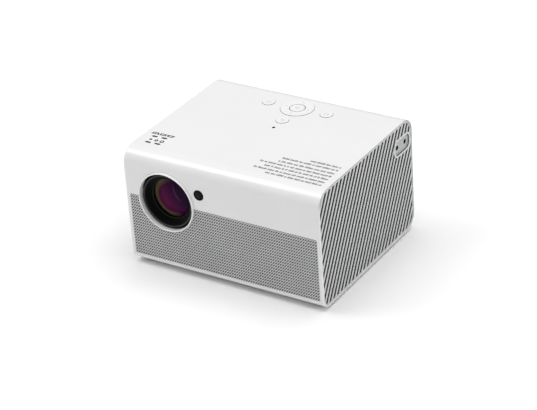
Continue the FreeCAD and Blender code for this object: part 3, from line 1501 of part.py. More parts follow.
pad_high = bottom - s.dial_gap
pad_low = pad_high - s.tilt_foot_pad
neck_radius = s.tilt_foot_radius / 2
neck_low = (pad_low + pad_high) / 2
turned("tilt_foot_pad", [
    (0, pad_low), (s.tilt_foot_pad_radius, pad_low), (s.tilt_foot_pad_radius, pad_high),
    (neck_radius + s.running_gap, pad_high), (neck_radius + s.running_gap, neck_low - s.running_gap),
    (0, neck_low - s.running_gap)], y=tilt_y)
turned("tilt_foot_screw", [
    (0, neck_low), (neck_radius, neck_low), (neck_radius, bottom), (s.tilt_foot_radius, bottom),
    (s.tilt_foot_radius, bottom + s.tilt_foot_length), (0, bottom + s.tilt_foot_length)], y=tilt_y)

turned("tripod_insert", [
    (s.insert_bore_radius, bottom), (s.insert_radius, bottom),
    (s.insert_radius, bottom + s.insert_height), (s.insert_bore_radius, bottom + s.insert_height)],
    y=insert_y)

screws = []
for number, (x, y) in enumerate(screw_places):
    head = rod(f"screw_head_{number}", s.screw_head_radius, s.screw_head_height, x=x, y=y, z=bottom)
    shank = rod(f"screw_shank_{number}", s.screw_radius, s.screw_length, x=x, y=y,
                z=bottom + s.screw_head_height)
    screws.append(joined(f"screw_{number}", head, shank))
keep("base_screws", joined("base_screws", *screws))

# ---------------------------------------------------------------- build, check and write

doc.recompute()
for item in doc.Objects:
    if "Invalid" in item.State or "Error" in item.State:
        raise RuntimeError(f"{item.Name} ({item.Label}) did not build: {item.State}")
os.makedirs("parts", exist_ok=True)
for label, item in parts.items():
    shape = item.Shape
    if shape.isNull() or not shape.isValid() or not shape.Solids:
        raise RuntimeError(f"{label} has no sound solid")
    shape.exportStep(f"parts/{label}.step")
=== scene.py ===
"""Small tabletop projector with a slide-out disc drive, dressed for rendering.

Frame, in metres: +X is the viewer's right when facing the lens side, the lens looks along -Y, +Z is up,
and the origin is on the table under the middle of the case.
"""
import math

import bpy
import numpy as np
from mathutils import Matrix, Vector


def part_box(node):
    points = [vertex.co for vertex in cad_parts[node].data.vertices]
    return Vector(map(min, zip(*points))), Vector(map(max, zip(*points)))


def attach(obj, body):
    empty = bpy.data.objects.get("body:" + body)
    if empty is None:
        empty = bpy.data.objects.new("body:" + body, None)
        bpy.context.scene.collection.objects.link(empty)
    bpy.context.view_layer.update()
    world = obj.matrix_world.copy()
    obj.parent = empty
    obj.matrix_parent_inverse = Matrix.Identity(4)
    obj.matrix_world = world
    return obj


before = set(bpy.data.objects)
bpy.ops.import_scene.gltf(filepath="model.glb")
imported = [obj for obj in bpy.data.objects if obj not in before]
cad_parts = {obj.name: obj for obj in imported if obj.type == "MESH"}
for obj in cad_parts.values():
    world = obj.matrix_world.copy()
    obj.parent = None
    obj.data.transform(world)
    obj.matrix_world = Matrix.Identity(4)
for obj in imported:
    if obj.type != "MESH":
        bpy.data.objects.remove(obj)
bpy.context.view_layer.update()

# ---------------------------------------------------------------- case shells
# The upper shell and the base cover are injection moulded in white ABS with a semi-gloss skin, and four
# screws from below close them. The rear wall has a matt spark-eroded skin, painted a greyer white as painted
# shade over the rear rounding, and the ends round the side panels are painted grey as shade along the seam.

MM = 0.001
WHITE = (0.84, 0.84, 0.838)
WHITE_SHADED = (0.81, 0.81, 0.808)
TONE_SIZE = 45 * MM
GLOSS_SIZE = 6 * MM
GRAIN_SIZE = 0.35 * MM
# The rear white and the end grey are painted shade, on the rear and along the seam at the side panels.
REAR_WHITE = (0.66, 0.66, 0.658)
REAR_DEPTH, REAR_FADE = 12.7 * MM, 2.5 * MM
END_SHADE_GREY = (0.46, 0.46, 0.465)
END_DEPTH = 0.45 * MM
END_DOWN, END_FADE = 17 * MM, 12 * MM

shell_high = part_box("upper_shell")[1]


class Link:
    """One socket of a material's node tree. Arithmetic on links adds Math nodes."""

    def __init__(self, tree, socket=None):
        self.tree = tree
        self.socket = socket

    def node(self, kind, settings=None, sockets=None, out=0):
        """Add one node: settings first, then values or links for its sockets, and give one of its outputs."""
        made = self.tree.nodes.new("ShaderNode" + kind)
        for name, value in (settings or {}).items():
            if name == "stops":
                self.set_stops(made.color_ramp.elements, value)
            else:
                setattr(made, name, value)
        for name, value in (sockets or {}).items():
            if isinstance(value, Link):
                self.tree.links.new(value.socket, made.inputs[name])
            else:
                made.inputs[name].default_value = value
        return Link(self.tree, made.outputs[out])

    @staticmethod
    def set_stops(elements, stops):
        """Put a ramp's (place, colour) stops in order."""
        elements[0].position, elements[0].color = stops[0][0], (*stops[0][1], 1)
        elements[1].position, elements[1].color = stops[-1][0], (*stops[-1][1], 1)
        for stop, colour in stops[1:-1]:
            elements.new(stop).color = (*colour, 1)

    def math(self, operation, *values):
        """A Math node on this link and then other values."""
        return self.node("Math", {"operation": operation}, dict(enumerate((self, *values))))

    def after(self, operation, value):
        """A Math node on a value and then this link."""
        return self.node("Math", {"operation": operation}, {0: value, 1: self})

    def __add__(self, other):
        return self.math("ADD", other)

    def __sub__(self, other):
        return self.math("SUBTRACT", other)

    def __rsub__(self, other):
        return self.after("SUBTRACT", other)

    def __mul__(self, other):
        return self.math("MULTIPLY", other)

    def __truediv__(self, other):
        return self.math("DIVIDE", other)

    def __rtruediv__(self, other):
        return self.after("DIVIDE", other)

    def __gt__(self, other):
        return self.math("GREATER_THAN", other)

    def __lt__(self, other):
        return self.math("LESS_THAN", other)

    def __abs__(self):
        return self.math("ABSOLUTE")

    __radd__ = __add__
    __rmul__ = __mul__


def axes(place):
    """The three coordinates of a place."""
    split = place.node("SeparateXYZ", None, {"Vector": place})
    return [Link(place.tree, output) for output in split.socket.node.outputs]


def noise(place, size, detail=2.0):
    """Noise over the object's own coordinates whose blotches are about `size` metres wide."""
    return place.node("TexNoise", None, {"Vector": place, "Scale": 1 / size, "Detail": detail})


def held(link):
    """A link held between 0 and 1."""
    return link.node("Clamp", None, {"Value": link})


def ramped(link, start, reach):
    """0 before `start`, rising evenly to 1 over `reach`."""
    return held((link - start) / reach)


def mixed(share, low, high):
    """A colour that goes from `low` to `high` as the share goes from 0 to 1."""
    ends = [end if isinstance(end, Link) else (*end, 1) for end in (low, high)]
    return share.node("Mix", {"data_type": "RGBA"}, {0: share, 6: ends[0], 7: ends[1]}, out=2)


def bumped(height, depth):
    """A normal pushed in and out by `depth` metres where the height goes from 0 to 1."""
    return height.node("Bump", None, {"Distance": depth, "Height": height})


def finish(name, steady, varying):
    """A Principled material: steady values sit on its sockets, varying ones come from object coordinates."""
    material = bpy.data.materials.new(name)
    material.use_nodes = True
    tree = material.node_tree
    shader = tree.nodes["Principled BSDF"]
    for socket, value in steady.items():
        shader.inputs[socket].default_value = value
    place = Link(tree).node("TexCoord", out=3)
    for socket, link in varying(place).items():
        tree.links.new(link.socket, shader.inputs[socket])
    return material


def dress(material, *nodes):
    """Give CAD nodes a material in every slot they have."""
    for name in nodes:
        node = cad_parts[name]
        if not node.material_slots:
            node.data.materials.append(material)
        for holder in node.material_slots:
            holder.material = material


def moulded(light, shaded, gloss=0.34, depth=0.006 * MM):
    """Moulded plastic: slow drift between two tones, a fine grain in the skin and uneven gloss."""
    def varying(place):
        return {"Base Color": mixed(noise(place, TONE_SIZE), shaded, light),
                "Roughness": gloss + 0.10 * noise(place, GLOSS_SIZE, 3.0),
                "Normal": bumped(noise(place, GRAIN_SIZE, 4.0), depth)}
    return varying


def shelled(place):
    """White moulding. The rear is more matt and painted a greyer white as painted shade, and the ends
    round the side panels are painted grey as shade along the seam.

    The painted shade on the rear fades in over the rear rounding, the grey ends over the height of the
    rounded corners."""
    x, y, z = axes(place)
    end = (abs(x) > shell_high[0] - END_DEPTH) * ramped(z, shell_high[2] - END_DOWN, END_FADE)
    rear = ramped(y, shell_high[1] - REAR_DEPTH, REAR_FADE)
    skin = moulded(WHITE, WHITE_SHADED)(place)
    return skin | {"Base Color": mixed(end, mixed(rear, skin["Base Color"], REAR_WHITE), END_SHADE_GREY),
                   "Roughness": skin["Roughness"] + 0.12 * rear}


white_abs = finish("white_abs", {"Coat Weight": 0.7, "Coat Roughness": 0.14}, shelled)
dress(white_abs, "upper_shell", "base_cover")

# ---------------------------------------------------------------- side panels and dust screens
# Each open side of the case is closed by a slatted panel, its outer face sprayed a satin light grey and the
# walls of its slots painted dark as painted shade. A thin black cloth glued behind it keeps dust out of the
# light engine.

SLAT_GREY = (0.78, 0.785, 0.79)
SLAT_GREY_SHADED = (0.73, 0.735, 0.74)
# The slot walls, the pocket walls and the jack holes are painted dark as painted shade.
SLAT_WALL_SHADE = (0.085, 0.086, 0.088)
WALL_SHADE_FROM, WALL_SHADE_FADE = 0.3 * MM, 0.9 * MM
BORDER_GREY = (0.90, 0.90, 0.90)
BORDER = 1.3 * MM
POCKET_GREY = (0.47, 0.475, 0.48)
POCKET_WALL_SHADE = (0.055, 0.056, 0.058)
POCKET_WALL_FROM = 0.58 * MM
POCKET_FLOOR_FROM = 1.45 * MM
POCKET_FLOOR_TO = POCKET_FLOOR_FROM + 0.3 * MM
POCKET_REACH = (15.4 * MM, 9.2 * MM)
CLOTH = (0.030, 0.031, 0.033)
CLOTH_LIT = (0.055, 0.056, 0.06)
THREAD = 0.45 * MM


def middle_of(node):
    """The middle of a CAD node's box: half the sum of its two corners."""
    low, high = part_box(node)
    return np.add(low, high) / 2


def within(link, centre, reach):
    """1 where a link lies closer than `reach` to a centre, and 0 elsewhere."""
    return abs(link - centre) < reach


panel_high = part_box("right_side_panel")[1]
jack_middle = middle_of("audio_jacks")


def sprayed_and_shaded(place):
    """Light grey paint on the outer face, and painted shade that darkens the walls of the slots with depth.

    The jack pocket has walls painted dark as shade, a floor in a slightly deeper grey, and holes
    painted black as shade."""
    x, y, z = axes(place)
    depth = panel_high[0] - abs(x)
    beside = within(y, jack_middle[1], POCKET_REACH[0])
    level = within(z, jack_middle[2], POCKET_REACH[1])
    pocket = (x > 0.0) * beside * level
    floor = mixed(depth > POCKET_FLOOR_TO, POCKET_GREY, CLOTH)
    wall_shade_and_floor = mixed(pocket, SLAT_WALL_SHADE, mixed(depth > POCKET_FLOOR_FROM, POCKET_WALL_SHADE, floor))
    skin = moulded(SLAT_GREY, SLAT_GREY_SHADED, gloss=0.42, depth=0.012 * MM)(place)
    face = mixed(z > panel_high[2] - BORDER, skin["Base Color"], BORDER_GREY)
    sunk_shade_and_floor = ramped(depth, WALL_SHADE_FROM, WALL_SHADE_FADE).math("MAXIMUM", pocket * (depth > POCKET_WALL_FROM))
    return skin | {"Base Color": mixed(sunk_shade_and_floor, face, wall_shade_and_floor)}


def woven(place):
    """Plain weave: two crossed waves of thread, one along each axis of the cloth."""
    x, y, z = axes(place)
    turn = 2 * math.pi / THREAD
    height = 0.5 + 0.25 * (z * turn).math("SINE") + 0.25 * ((x + y) * turn).math("SINE")
    return {"Base Color": mixed(height, CLOTH, CLOTH_LIT), "Normal": bumped(height, 0.08 * MM)}


slat_paint = finish("slat_paint", {}, sprayed_and_shaded)
dress(slat_paint, "left_side_panel", "right_side_panel")
dust_cloth = finish("dust_cloth", {"Roughness": 0.95, "Sheen Weight": 0.2}, woven)
dress(dust_cloth, "dust_screens", "grille_scrim")

# ---------------------------------------------------------------- front grille
# The speaker grille is a sheet of pressed metal with rows of slanted slots, painted silver grey. The skin
# made here has the slots cut right through and lies on the solid sheet, which is painted dark as the painted
# shade behind them.

SHEET_GREY = (0.58, 0.58, 0.585)
SHEET_GREY_SHADED = (0.52, 0.52, 0.525)
SHADE_BEHIND_SLOTS = (0.070, 0.070, 0.073)
COLUMN = 2.56 * MM
ROW = 2.98 * MM
SLOT_LENGTH = 0.86
SLOT_WIDTH = 0.56
SLOT_NECK = 0.72
SKIN = 0.22 * MM
SHEET_SIDE = 101.15 * MM
SHEET_ROUND = 1.5 * MM
SHEET_INSET, SHEET_DROP = 0.02 * MM, 0.3 * MM
NOTCH = 30.45 * MM
SPARE_COLUMNS = 6

lens_centre = middle_of("front_glass")[[0, 2]]
grille_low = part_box("front_grille")[0]
sheet_low = grille_low[2] + SHEET_INSET
sheet_high = lens_centre[1] - SHEET_DROP


def piece(name, points, faces, material, body, slot, smooth=False):
    """A mesh of given points and polygons, riding on a CAD body."""
    mesh = bpy.data.meshes.new(name)
    mesh.from_pydata(np.asarray(points).reshape(-1, 3).tolist(), [], [list(face) for face in faces])
    mesh.polygons.foreach_set("use_smooth", [smooth] * len(mesh.polygons))
    mesh.materials.append(material)
    made = bpy.data.objects.new(name, mesh)
    bpy.context.scene.collection.objects.link(made)
    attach(made, body)
    return made


def welded(points, faces, reach=0.002 * MM):
    """Points closer than `reach` become one. A quad that loses a corner is a triangle, and flatter ones go.

    Each point is rounded to a whole number of reaches, and points that round alike are one."""
    points = np.asarray(points).reshape(-1, 3)
    _, first, which = np.unique(np.round(points / reach).astype(np.int64), axis=0,
                                return_index=True, return_inverse=True)
    corners = which.ravel()[np.asarray(faces)]
    own = corners != np.roll(corners, 1, axis=1)
    whole = own.all(axis=1)
    clipped = own.sum(axis=1) == 3
    kept = corners[whole].tolist() + corners[clipped][own[clipped]].reshape(-1, 3).tolist()
    return points[first], [face for face in kept if len(set(face)) == len(face)]


def within_sheet(flat):
    """Points drawn in to the sheet's rounded outline, then pushed out of the lens notch.

    A point past the outline's core comes back to at most the rounding's radius from it, and a point nearer to
    the lens than the notch's radius moves out along its own ray."""
    reach = np.array([SHEET_SIDE - SHEET_ROUND, (sheet_high - sheet_low) / 2 - SHEET_ROUND])
    middle = np.array([0, (sheet_high + sheet_low) / 2])
    core = np.clip(flat - middle, -reach, reach)
    over = flat - middle - core
    length = np.maximum(np.linalg.norm(over, axis=-1, keepdims=True), 1e-9)
    flat = middle + core + over * np.minimum(1, SHEET_ROUND / length)
    away = flat - lens_centre
    flat = lens_centre + away * np.maximum(1, NOTCH / np.linalg.norm(away, axis=-1, keepdims=True))
    return np.minimum(flat, [np.inf, sheet_high])


def slotted_sheet():
    """A plane of slanted cells, each a ring of eight quads round an oblong slot.

    A cell's corners are i * along + j * across, where along is one row up and one column over, so that the
    slots lean, and across is one column over. A slot's ends and sides are shares of its cell's two edges, and
    cells at the sheet's edge are squeezed into its outline."""
    along, across = np.array([COLUMN, ROW]), np.array([COLUMN, 0.0])
    rows = np.arange(math.floor(sheet_low / ROW) - 1, math.ceil(sheet_high / ROW) + 1)
    reach = int(SHEET_SIDE / COLUMN) + len(rows) + SPARE_COLUMNS
    columns = np.arange(-reach, reach)
    corner = (rows[:, None, None] * along + columns[None, :, None] * across).reshape(-1, 1, 2)
    outer = np.array([(0, 0), (0.5, 0), (1, 0), (1, 0.5), (1, 1), (0.5, 1), (0, 1), (0, 0.5)])
    end, side = SLOT_LENGTH / 2, SLOT_WIDTH / 2
    neck = end * SLOT_NECK
    inner = 0.5 + np.array([(-neck, -side), (0, -side), (neck, -side), (end, 0),
                            (neck, side), (0, side), (-neck, side), (-end, 0)])
    spots = np.concatenate([outer, inner])
    flat = corner + (spots[:, :1] * along + spots[:, 1:] * across)[None]
    centre = flat.mean(axis=1)
    beside = np.abs(centre[:, 0]) < SHEET_SIDE + COLUMN
    level = (centre[:, 1] < sheet_high + ROW / 2) & (centre[:, 1] > sheet_low - ROW / 2)
    clear = np.linalg.norm(centre - lens_centre, axis=1) > NOTCH - ROW / 2
    flat = within_sheet(flat[beside & level & clear])
    ring = np.array([(i, 8 + i, 8 + (i + 1) % 8, (i + 1) % 8) for i in range(8)])
    faces = ring[None] + 16 * np.arange(len(flat))[:, None, None]
    depth = np.full(flat.shape[:2], grille_low[1])
    return np.stack([flat[..., 0], depth, flat[..., 1]], axis=-1), faces.reshape(-1, 4)


def painted(place):
    """Sprayed paint: even colour and a faint orange peel."""
    return {"Base Color": mixed(noise(place, 25 * MM), SHEET_GREY_SHADED, SHEET_GREY),
            "Normal": bumped(noise(place, 0.5 * MM), 0.01 * MM)}


grille_paint = finish("grille_paint", {"Roughness": 0.42}, painted)
# The solid sheet under the skin is painted dark as painted shade seen through the slots.
slot_shade = finish("slot_shade", {"Roughness": 0.8},
                   lambda place: {"Base Color": mixed(noise(place, 3 * MM), SHADE_BEHIND_SLOTS, CLOTH)})
dress(slot_shade, "front_grille")
grille_skin = piece("grille_skin", *welded(*slotted_sheet()), grille_paint, "housing", "grille_mesh")
thicken = grille_skin.modifiers.new("thickness", "SOLIDIFY")
thicken.thickness = SKIN
thicken.offset = 1.0

# ---------------------------------------------------------------- lens, bezel and dials
# A moulded white bezel frames the lens mouth, held by its flange behind the wall. The barrel is matt black
# plastic whose hood is cut in fine light-catching steps, and it holds two coated glasses. Two knurled dials
# turn round it.

BEZEL_WHITE = (0.92, 0.92, 0.92)
BEZEL_SHADED = (0.89, 0.89, 0.89)
BLACK = (0.006, 0.007, 0.006)
BLACK_WORN = (0.014, 0.015, 0.014)
HOOD_BLACK = (0.0050, 0.0053, 0.0050)
HOOD_RIM_HIGHLIGHT = (0.046, 0.049, 0.046)
# The rim greys are a painted highlight line round the hood's lip.
RIM_HIGHLIGHT_GREY = (0.06, 0.062, 0.06)
RIM_HIGHLIGHT_LIT = (0.10, 0.102, 0.10)
COATING = ((0.0, (0.105, 0.030, 0.045)), (0.25, (0.088, 0.010, 0.044)), (0.52, (0.060, 0.004, 0.042)),
           (0.72, (0.026, 0.005, 0.034)), (1.0, (0.010, 0.007, 0.016)))
COATING_EDGE = (0.150, 0.135, 0.060)
PAINTED_REFLECTION_PALE = (0.062, 0.040, 0.085)
COATING_LEAN, COATING_SPAN = (0.78, 0.42), 2.1
EDGE_FROM, EDGE_RISE = 0.70, 4.2
CRESCENT_LEAN, CRESCENT_TO, CRESCENT_RISE = (0.97, 0.25), 0.22, 1.9
STREAK_CENTRE = (34.0 * MM, 21.3 * MM)
STREAK_RADIUS, STREAK_WIDTH = 33.0 * MM, 1.3 * MM
STREAK_FROM, STREAK_FROM_FADE = -2.5 * MM, 5.0 * MM
STREAK_TO, STREAK_TO_FADE = 17.0 * MM, 9.0 * MM
GLASS_RING = ((0.15, -0.25), (0.15, 0.6), (-0.55, 0.6), (-0.35, 0.1))
HOOD_LIP = 26.0 * MM
HOOD_RING = ((0.30, 0.2), (0.02, 0.2), (0.06, -0.14), (0.24, -0.14))
RIM_FROM, RIM_TO = 25.3 * MM, 26.9 * MM
STEPS = 9
TREAD = 0.08 * MM
LIP_INSET, GLASS_CLEAR = 0.15 * MM, 0.35 * MM
BACK_AT_LIP, BACK_AT_GLASS = 0.9 * MM, 0.4 * MM
TURNS = 96

glass_low, glass_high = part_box("front_glass")
glass_radius = (glass_high[0] - glass_low[0]) / 2


def apart(across, up):
    """The distance that two legs at a right angle span: the root of the sum of their squares."""
    return (across * across + up * up).math("SQRT")


def from_lens(place):
    """Distance from the lens axis, and how far to the right of it and above it a point lies."""
    x, _, z = axes(place)
    right, up = x - lens_centre[0], z - lens_centre[1]
    return apart(right, up), right, up


def aslant(right, up, lean):
    """How far a point lies along a slanting direction, given by its parts to the right and up."""
    return right * lean[0] + up * lean[1]


def hooded(place):
    """Matt black, with a painted highlight in a charcoal ring at the front of the hood."""
    distance = from_lens(place)[0]
    lip_highlight = (distance > RIM_FROM) * (distance < RIM_TO)
    return {"Base Color": mixed(lip_highlight, mixed(noise(place, 4 * MM), HOOD_BLACK, BLACK), HOOD_RIM_HIGHLIGHT),
            "Roughness": 0.50 + 0.12 * noise(place, 1.5 * MM),
            "Normal": bumped(noise(place, 0.4 * MM), 0.01 * MM)}


def coated_and_reflecting(place):
    """Vapour coating whose colour follows its thickness.

    It runs from magenta at the lower left to slate at the upper right, and is olive in a crescent along the
    left edge. Its one pale streak is a painted reflection, an arc of a circle round a point to the upper
    right of the glass, which fades out at both ends."""
    distance, right, up = from_lens(place)
    lean = 0.5 + aslant(right, up, COATING_LEAN) / (COATING_SPAN * glass_radius) + 0.05 * noise(place, 9 * MM)
    violet = lean.node("ValToRGB", {"stops": COATING}, {"Fac": lean})
    edge = held((distance / glass_radius - EDGE_FROM) * EDGE_RISE)
    crescent = edge * held((CRESCENT_TO - aslant(right, up, CRESCENT_LEAN) / glass_radius) * CRESCENT_RISE)
    off_arc = abs(apart(right - STREAK_CENTRE[0], up - STREAK_CENTRE[1]) - STREAK_RADIUS)
    faded = ramped(up, STREAK_FROM, STREAK_FROM_FADE) * held((STREAK_TO - up) / STREAK_TO_FADE)
    streak_reflection = held(1.0 - off_arc / STREAK_WIDTH) * faded
    return {"Base Color": mixed(0.75 * streak_reflection, mixed(crescent, violet, COATING_EDGE), PAINTED_REFLECTION_PALE),
            "Roughness": 0.05 + 0.04 * noise(place, 5 * MM)}


bezel_white = finish("bezel_white", {"Coat Weight": 0.4, "Coat Roughness": 0.08},
                     moulded(BEZEL_WHITE, BEZEL_SHADED, gloss=0.25, depth=0.003 * MM))
hood_black = finish("hood_black", {"Specular IOR Level": 0.06}, hooded)
rim_highlight_grey = finish("rim_highlight_grey", {"Specular IOR Level": 0.3},
                  lambda place: {"Base Color": mixed(noise(place, 2 * MM), RIM_HIGHLIGHT_GREY, RIM_HIGHLIGHT_LIT),
                                 "Roughness": 0.4 + 0.1 * noise(place, 1 * MM)})
glass_coated = finish("glass_coated", {"Specular IOR Level": 0.02, "Coat Weight": 0.02,
                                       "Coat Roughness": 0.01}, coated_and_reflecting)
black_matt = finish("black_matt", {"Specular IOR Level": 0.3},
                    moulded(BLACK_WORN, BLACK, gloss=0.5, depth=0.01 * MM))
dress(bezel_white, "lens_bezel")
dress(hood_black, "lens_barrel")
dress(glass_coated, "front_glass", "rear_glass")
dress(black_matt, "lens_mount", "lens_carrier", "dial_collars", "focus_dial", "keystone_dial")


def swept(profile, turns, centre):
    """A closed profile of (radius, depth) rows, turned about a line along Y through centre (x, z).

    At angle a, a row lies at x + radius * sin a, depth and z + radius * cos a. Gives points and quads."""
    profile = np.asarray(profile)
    angle = np.linspace(0, 2 * np.pi, turns, endpoint=False)[:, None]
    radius, depth = profile[None, :, 0], profile[None, :, 1]
    up, right = radius * np.cos(angle), radius * np.sin(angle)
    points = np.stack([right + centre[0], np.broadcast_to(depth, up.shape), up + centre[1]], axis=-1)
    i, j = np.meshgrid(np.arange(turns), np.arange(len(profile)), indexing="ij")
    at = lambda turn, row: (turn % turns) * len(profile) + row % len(profile)
    faces = np.stack([at(i, j), at(i + 1, j), at(i + 1, j + 1), at(i, j + 1)], axis=-1)
    return points.reshape(-1, 3), faces.reshape(-1, 4)


def ring_profile(corners, radius, depth):
    """A ring's closed profile: corners in millimetres outwards and backwards of a radius and a depth."""
    return np.array(corners) * MM + (radius, depth)


glass_ring = swept(ring_profile(GLASS_RING, glass_radius, glass_low[1]), TURNS, lens_centre)
piece("glass_retaining_ring", *glass_ring, black_matt, "lens", "black_plastic", True)

# The cone runs from the hood's lip in to the glass. Each step is a flat tread from one radius in to the next,
# a little in front of the cone, and then a riser back. Two corners behind the cone close the profile.
hood_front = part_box("lens_barrel")[0][1]
step_radius = np.linspace(HOOD_LIP - LIP_INSET, glass_radius + GLASS_CLEAR, STEPS)
cone_depth = hood_front + (HOOD_LIP - step_radius) * (glass_low[1] - hood_front) / (HOOD_LIP - glass_radius)
treads = np.column_stack([np.repeat(step_radius, 2)[1:-1], np.repeat(cone_depth[:-1] - TREAD, 2)])
step_profile = np.vstack([treads, [(step_radius[-1], cone_depth[-1] + BACK_AT_GLASS),
                                   (step_radius[0], cone_depth[0] + BACK_AT_LIP)]])
piece("hood_steps", *swept(step_profile, TURNS, lens_centre), hood_black, "lens", "black_plastic")

# A thin ring at the hood's lip, whose grey is a painted highlight line.
hood_ring = swept(ring_profile(HOOD_RING, HOOD_LIP, hood_front), TURNS, lens_centre)
piece("hood_rim_highlight", *hood_ring, rim_highlight_grey, "lens", "black_plastic", True)

# ---------------------------------------------------------------- keys and status light
# The keys are glossy caps moulded in the same white as the case, with pictures pad printed in pale grey ink.
# The status light is a clear light pipe that looks black when it is off, in a fine printed black ring.

KEY_EDGE_SHADE = (0.07, 0.07, 0.07)
KEY_EDGE_DOWN, KEY_EDGE_FADE = 0.13 * MM, 0.18 * MM
INK_GREY = (0.34, 0.34, 0.35)
INK_GREY_THIN = (0.42, 0.42, 0.43)
INK_DEEP = 0.03 * MM
INK_PROUD = 0.003 * MM
INK_BLACK = (0.007, 0.007, 0.007)
INK_BLACK_THIN = (0.016, 0.016, 0.016)
PIPE_BLACK = (0.003, 0.003, 0.004)
PIPE_LIT = (0.008, 0.008, 0.01)
LINE = 0.42
RING_LINE = 0.34
LEAST_COSINE = 0.4


def capped(place):
    """Glossy white, with painted shade darkening the lower edge of the cap."""
    z = axes(place)[2]
    # The lower edge of the cap is painted dark as shade.
    edge = held((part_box("ok_key")[1][2] - KEY_EDGE_DOWN - z) / KEY_EDGE_FADE)
    skin = moulded(WHITE, WHITE_SHADED, gloss=0.28, depth=0.004 * MM)(place)
    return skin | {"Base Color": mixed(edge, skin["Base Color"], KEY_EDGE_SHADE)}


def inked(name, colour, thin):
    """Printing ink: almost even, thinner here and there, as pad printing leaves it."""
    return finish(name, {"Roughness": 0.6, "Specular IOR Level": 0.1},
                  lambda place: {"Base Color": mixed(noise(place, 0.8 * MM, 3.0), colour, thin)})


key_white = finish("key_white", {"Coat Weight": 0.2, "Coat Roughness": 0.1}, capped)
light_pipe = finish("light_pipe", {"Roughness": 0.15, "Specular IOR Level": 0.1},
                    lambda place: {"Base Color": mixed(noise(place, 0.6 * MM), PIPE_BLACK, PIPE_LIT)})
ink_grey = inked("ink_grey", INK_GREY, INK_GREY_THIN)
ink_black = inked("ink_black", INK_BLACK, INK_BLACK_THIN)
dress(key_white, "power_key", "source_key", "back_key", "ok_key", "navigation_ring")
dress(light_pipe, "status_light")


def printed(name, shapes, level, material, body, rear=False):
    """Flat shapes of ink, each a convex polygon or a strip, as thin closed prisms standing on one level.

    Each outline is repeated a little below and a little above the level. An outline whose signed area is
    negative is turned round first. For the rear face the prisms stand upright: (across, up, out) lie along
    (-x, z, y)."""
    points, faces, base = [], [], 0
    for outline in shapes:
        outline = np.asarray(outline, float)
        before, count = np.roll(outline, 1, axis=0), len(outline)
        if np.sum(before[:, 0] * (outline - before)[:, 1] - before[:, 1] * (outline - before)[:, 0]) < 0:
            outline = outline[::-1]
        points += [np.column_stack([outline, np.full(count, height)])
                   for height in (level - INK_DEEP, level + INK_PROUD)]
        ring = base + np.arange(count)
        following = np.roll(ring, -1)
        faces += [ring[::-1].tolist(), (ring + count).tolist()]
        faces += np.stack([ring, following, following + count, ring + count], axis=1).tolist()
        base += 2 * count
    points = np.concatenate(points)
    if rear:
        points = points[:, [0, 2, 1]] * (-1, 1, 1)
    return piece(name, points, faces, material, body, "black_plastic")


def stroke(ends, width, closed=False):
    """Quads along a path, each half a width to either side of its run, with the joints mitred.

    A joint's side is the quarter turn of the sum of the two unit runs that meet there, lengthened by one
    over the cosine of half the angle between them. A least cosine keeps the side short at a sharp turn."""
    ends = np.asarray(ends, float)
    before = np.roll(ends, 1, axis=0) if closed else np.vstack([2 * ends[0] - ends[1], ends[:-1]])
    after = np.roll(ends, -1, axis=0) if closed else np.vstack([ends[1:], 2 * ends[-1] - ends[-2]])
    into = (ends - before) / np.linalg.norm(ends - before, axis=1, keepdims=True)
    out = (after - ends) / np.linalg.norm(after - ends, axis=1, keepdims=True)
    side = into + out
    side = np.stack([-side[:, 1], side[:, 0]], axis=1) / np.linalg.norm(side, axis=1, keepdims=True)
    cosine = np.sqrt((1 + np.sum(into * out, axis=1, keepdims=True)) / 2)
    grow = width / 2 / np.maximum(LEAST_COSINE, cosine)
    left, right = ends + side * grow, ends - side * grow
    quads = np.stack([right, np.roll(right, -1, axis=0), np.roll(left, -1, axis=0), left], axis=1)
    return list(quads if closed else quads[:-1])


def arc(centre, radius, start, stop, count=24):
    """Points on a circle between two angles in degrees: centre + radius * (cos, sin)."""
    angle = np.radians(np.linspace(start, stop, count))
    return np.column_stack([centre[0] + radius * np.cos(angle), centre[1] + radius * np.sin(angle)])


def circle(radius):
    """24 points on a circle about the origin, for a closed stroke."""
    return arc((0, 0), radius, 0, 345)


def placed(shapes, centre):
    """Shapes drawn about the origin in millimetres, put at a centre in metres."""
    return [np.asarray(shape) * MM + np.asarray(centre) for shape in shapes]


def top_of(node):
    """The middle of a CAD node's top, and the level of that top."""
    return middle_of(node)[:2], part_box(node)[1][2]


# The pictures are drawn about the origin in millimetres.
power_mark = stroke(arc((0, 0), 2.0, 125, 415), LINE) + stroke([(0, 0.4), (0, 2.5)], LINE)
source_mark = stroke([(-0.6, 2.0), (-2.2, 2.0), (-2.2, -2.0), (-0.6, -2.0)], LINE) + \
    stroke([(-0.9, 0), (2.0, 0)], LINE) + stroke([(1.0, 1.1), (2.2, 0), (1.0, -1.1)], LINE)
hook = np.vstack([[(-1.8, 0.9), (0.8, 0.9)], arc((0.8, -0.5), 1.4, 90, -90, 12)[1:], [(-0.8, -1.9)]])
back_mark = stroke(hook, LINE) + stroke([(-0.9, 2.0), (-2.1, 0.9), (-0.9, -0.2)], LINE)
ok_mark = stroke(circle(1.7), LINE, closed=True)
for body, mark in (("power", power_mark), ("source", source_mark), ("back", back_mark), ("ok", ok_mark)):
    middle, level = top_of(body + "_key")
    printed(body + "_mark", placed(mark, middle), level, ink_grey, body)

middle, level = top_of("navigation_ring")
pointer = np.array([(-0.9, 11.4), (0.9, 11.4), (0.0, 12.75)])
ring_marks = []
for quarter in range(4):
    sine, cosine = math.sin(quarter * math.pi / 2), math.cos(quarter * math.pi / 2)
    ring_marks += placed([pointer @ np.array([[cosine, sine], [-sine, cosine]])], middle)
printed("ring_marks", ring_marks, level, ink_grey, "ring")

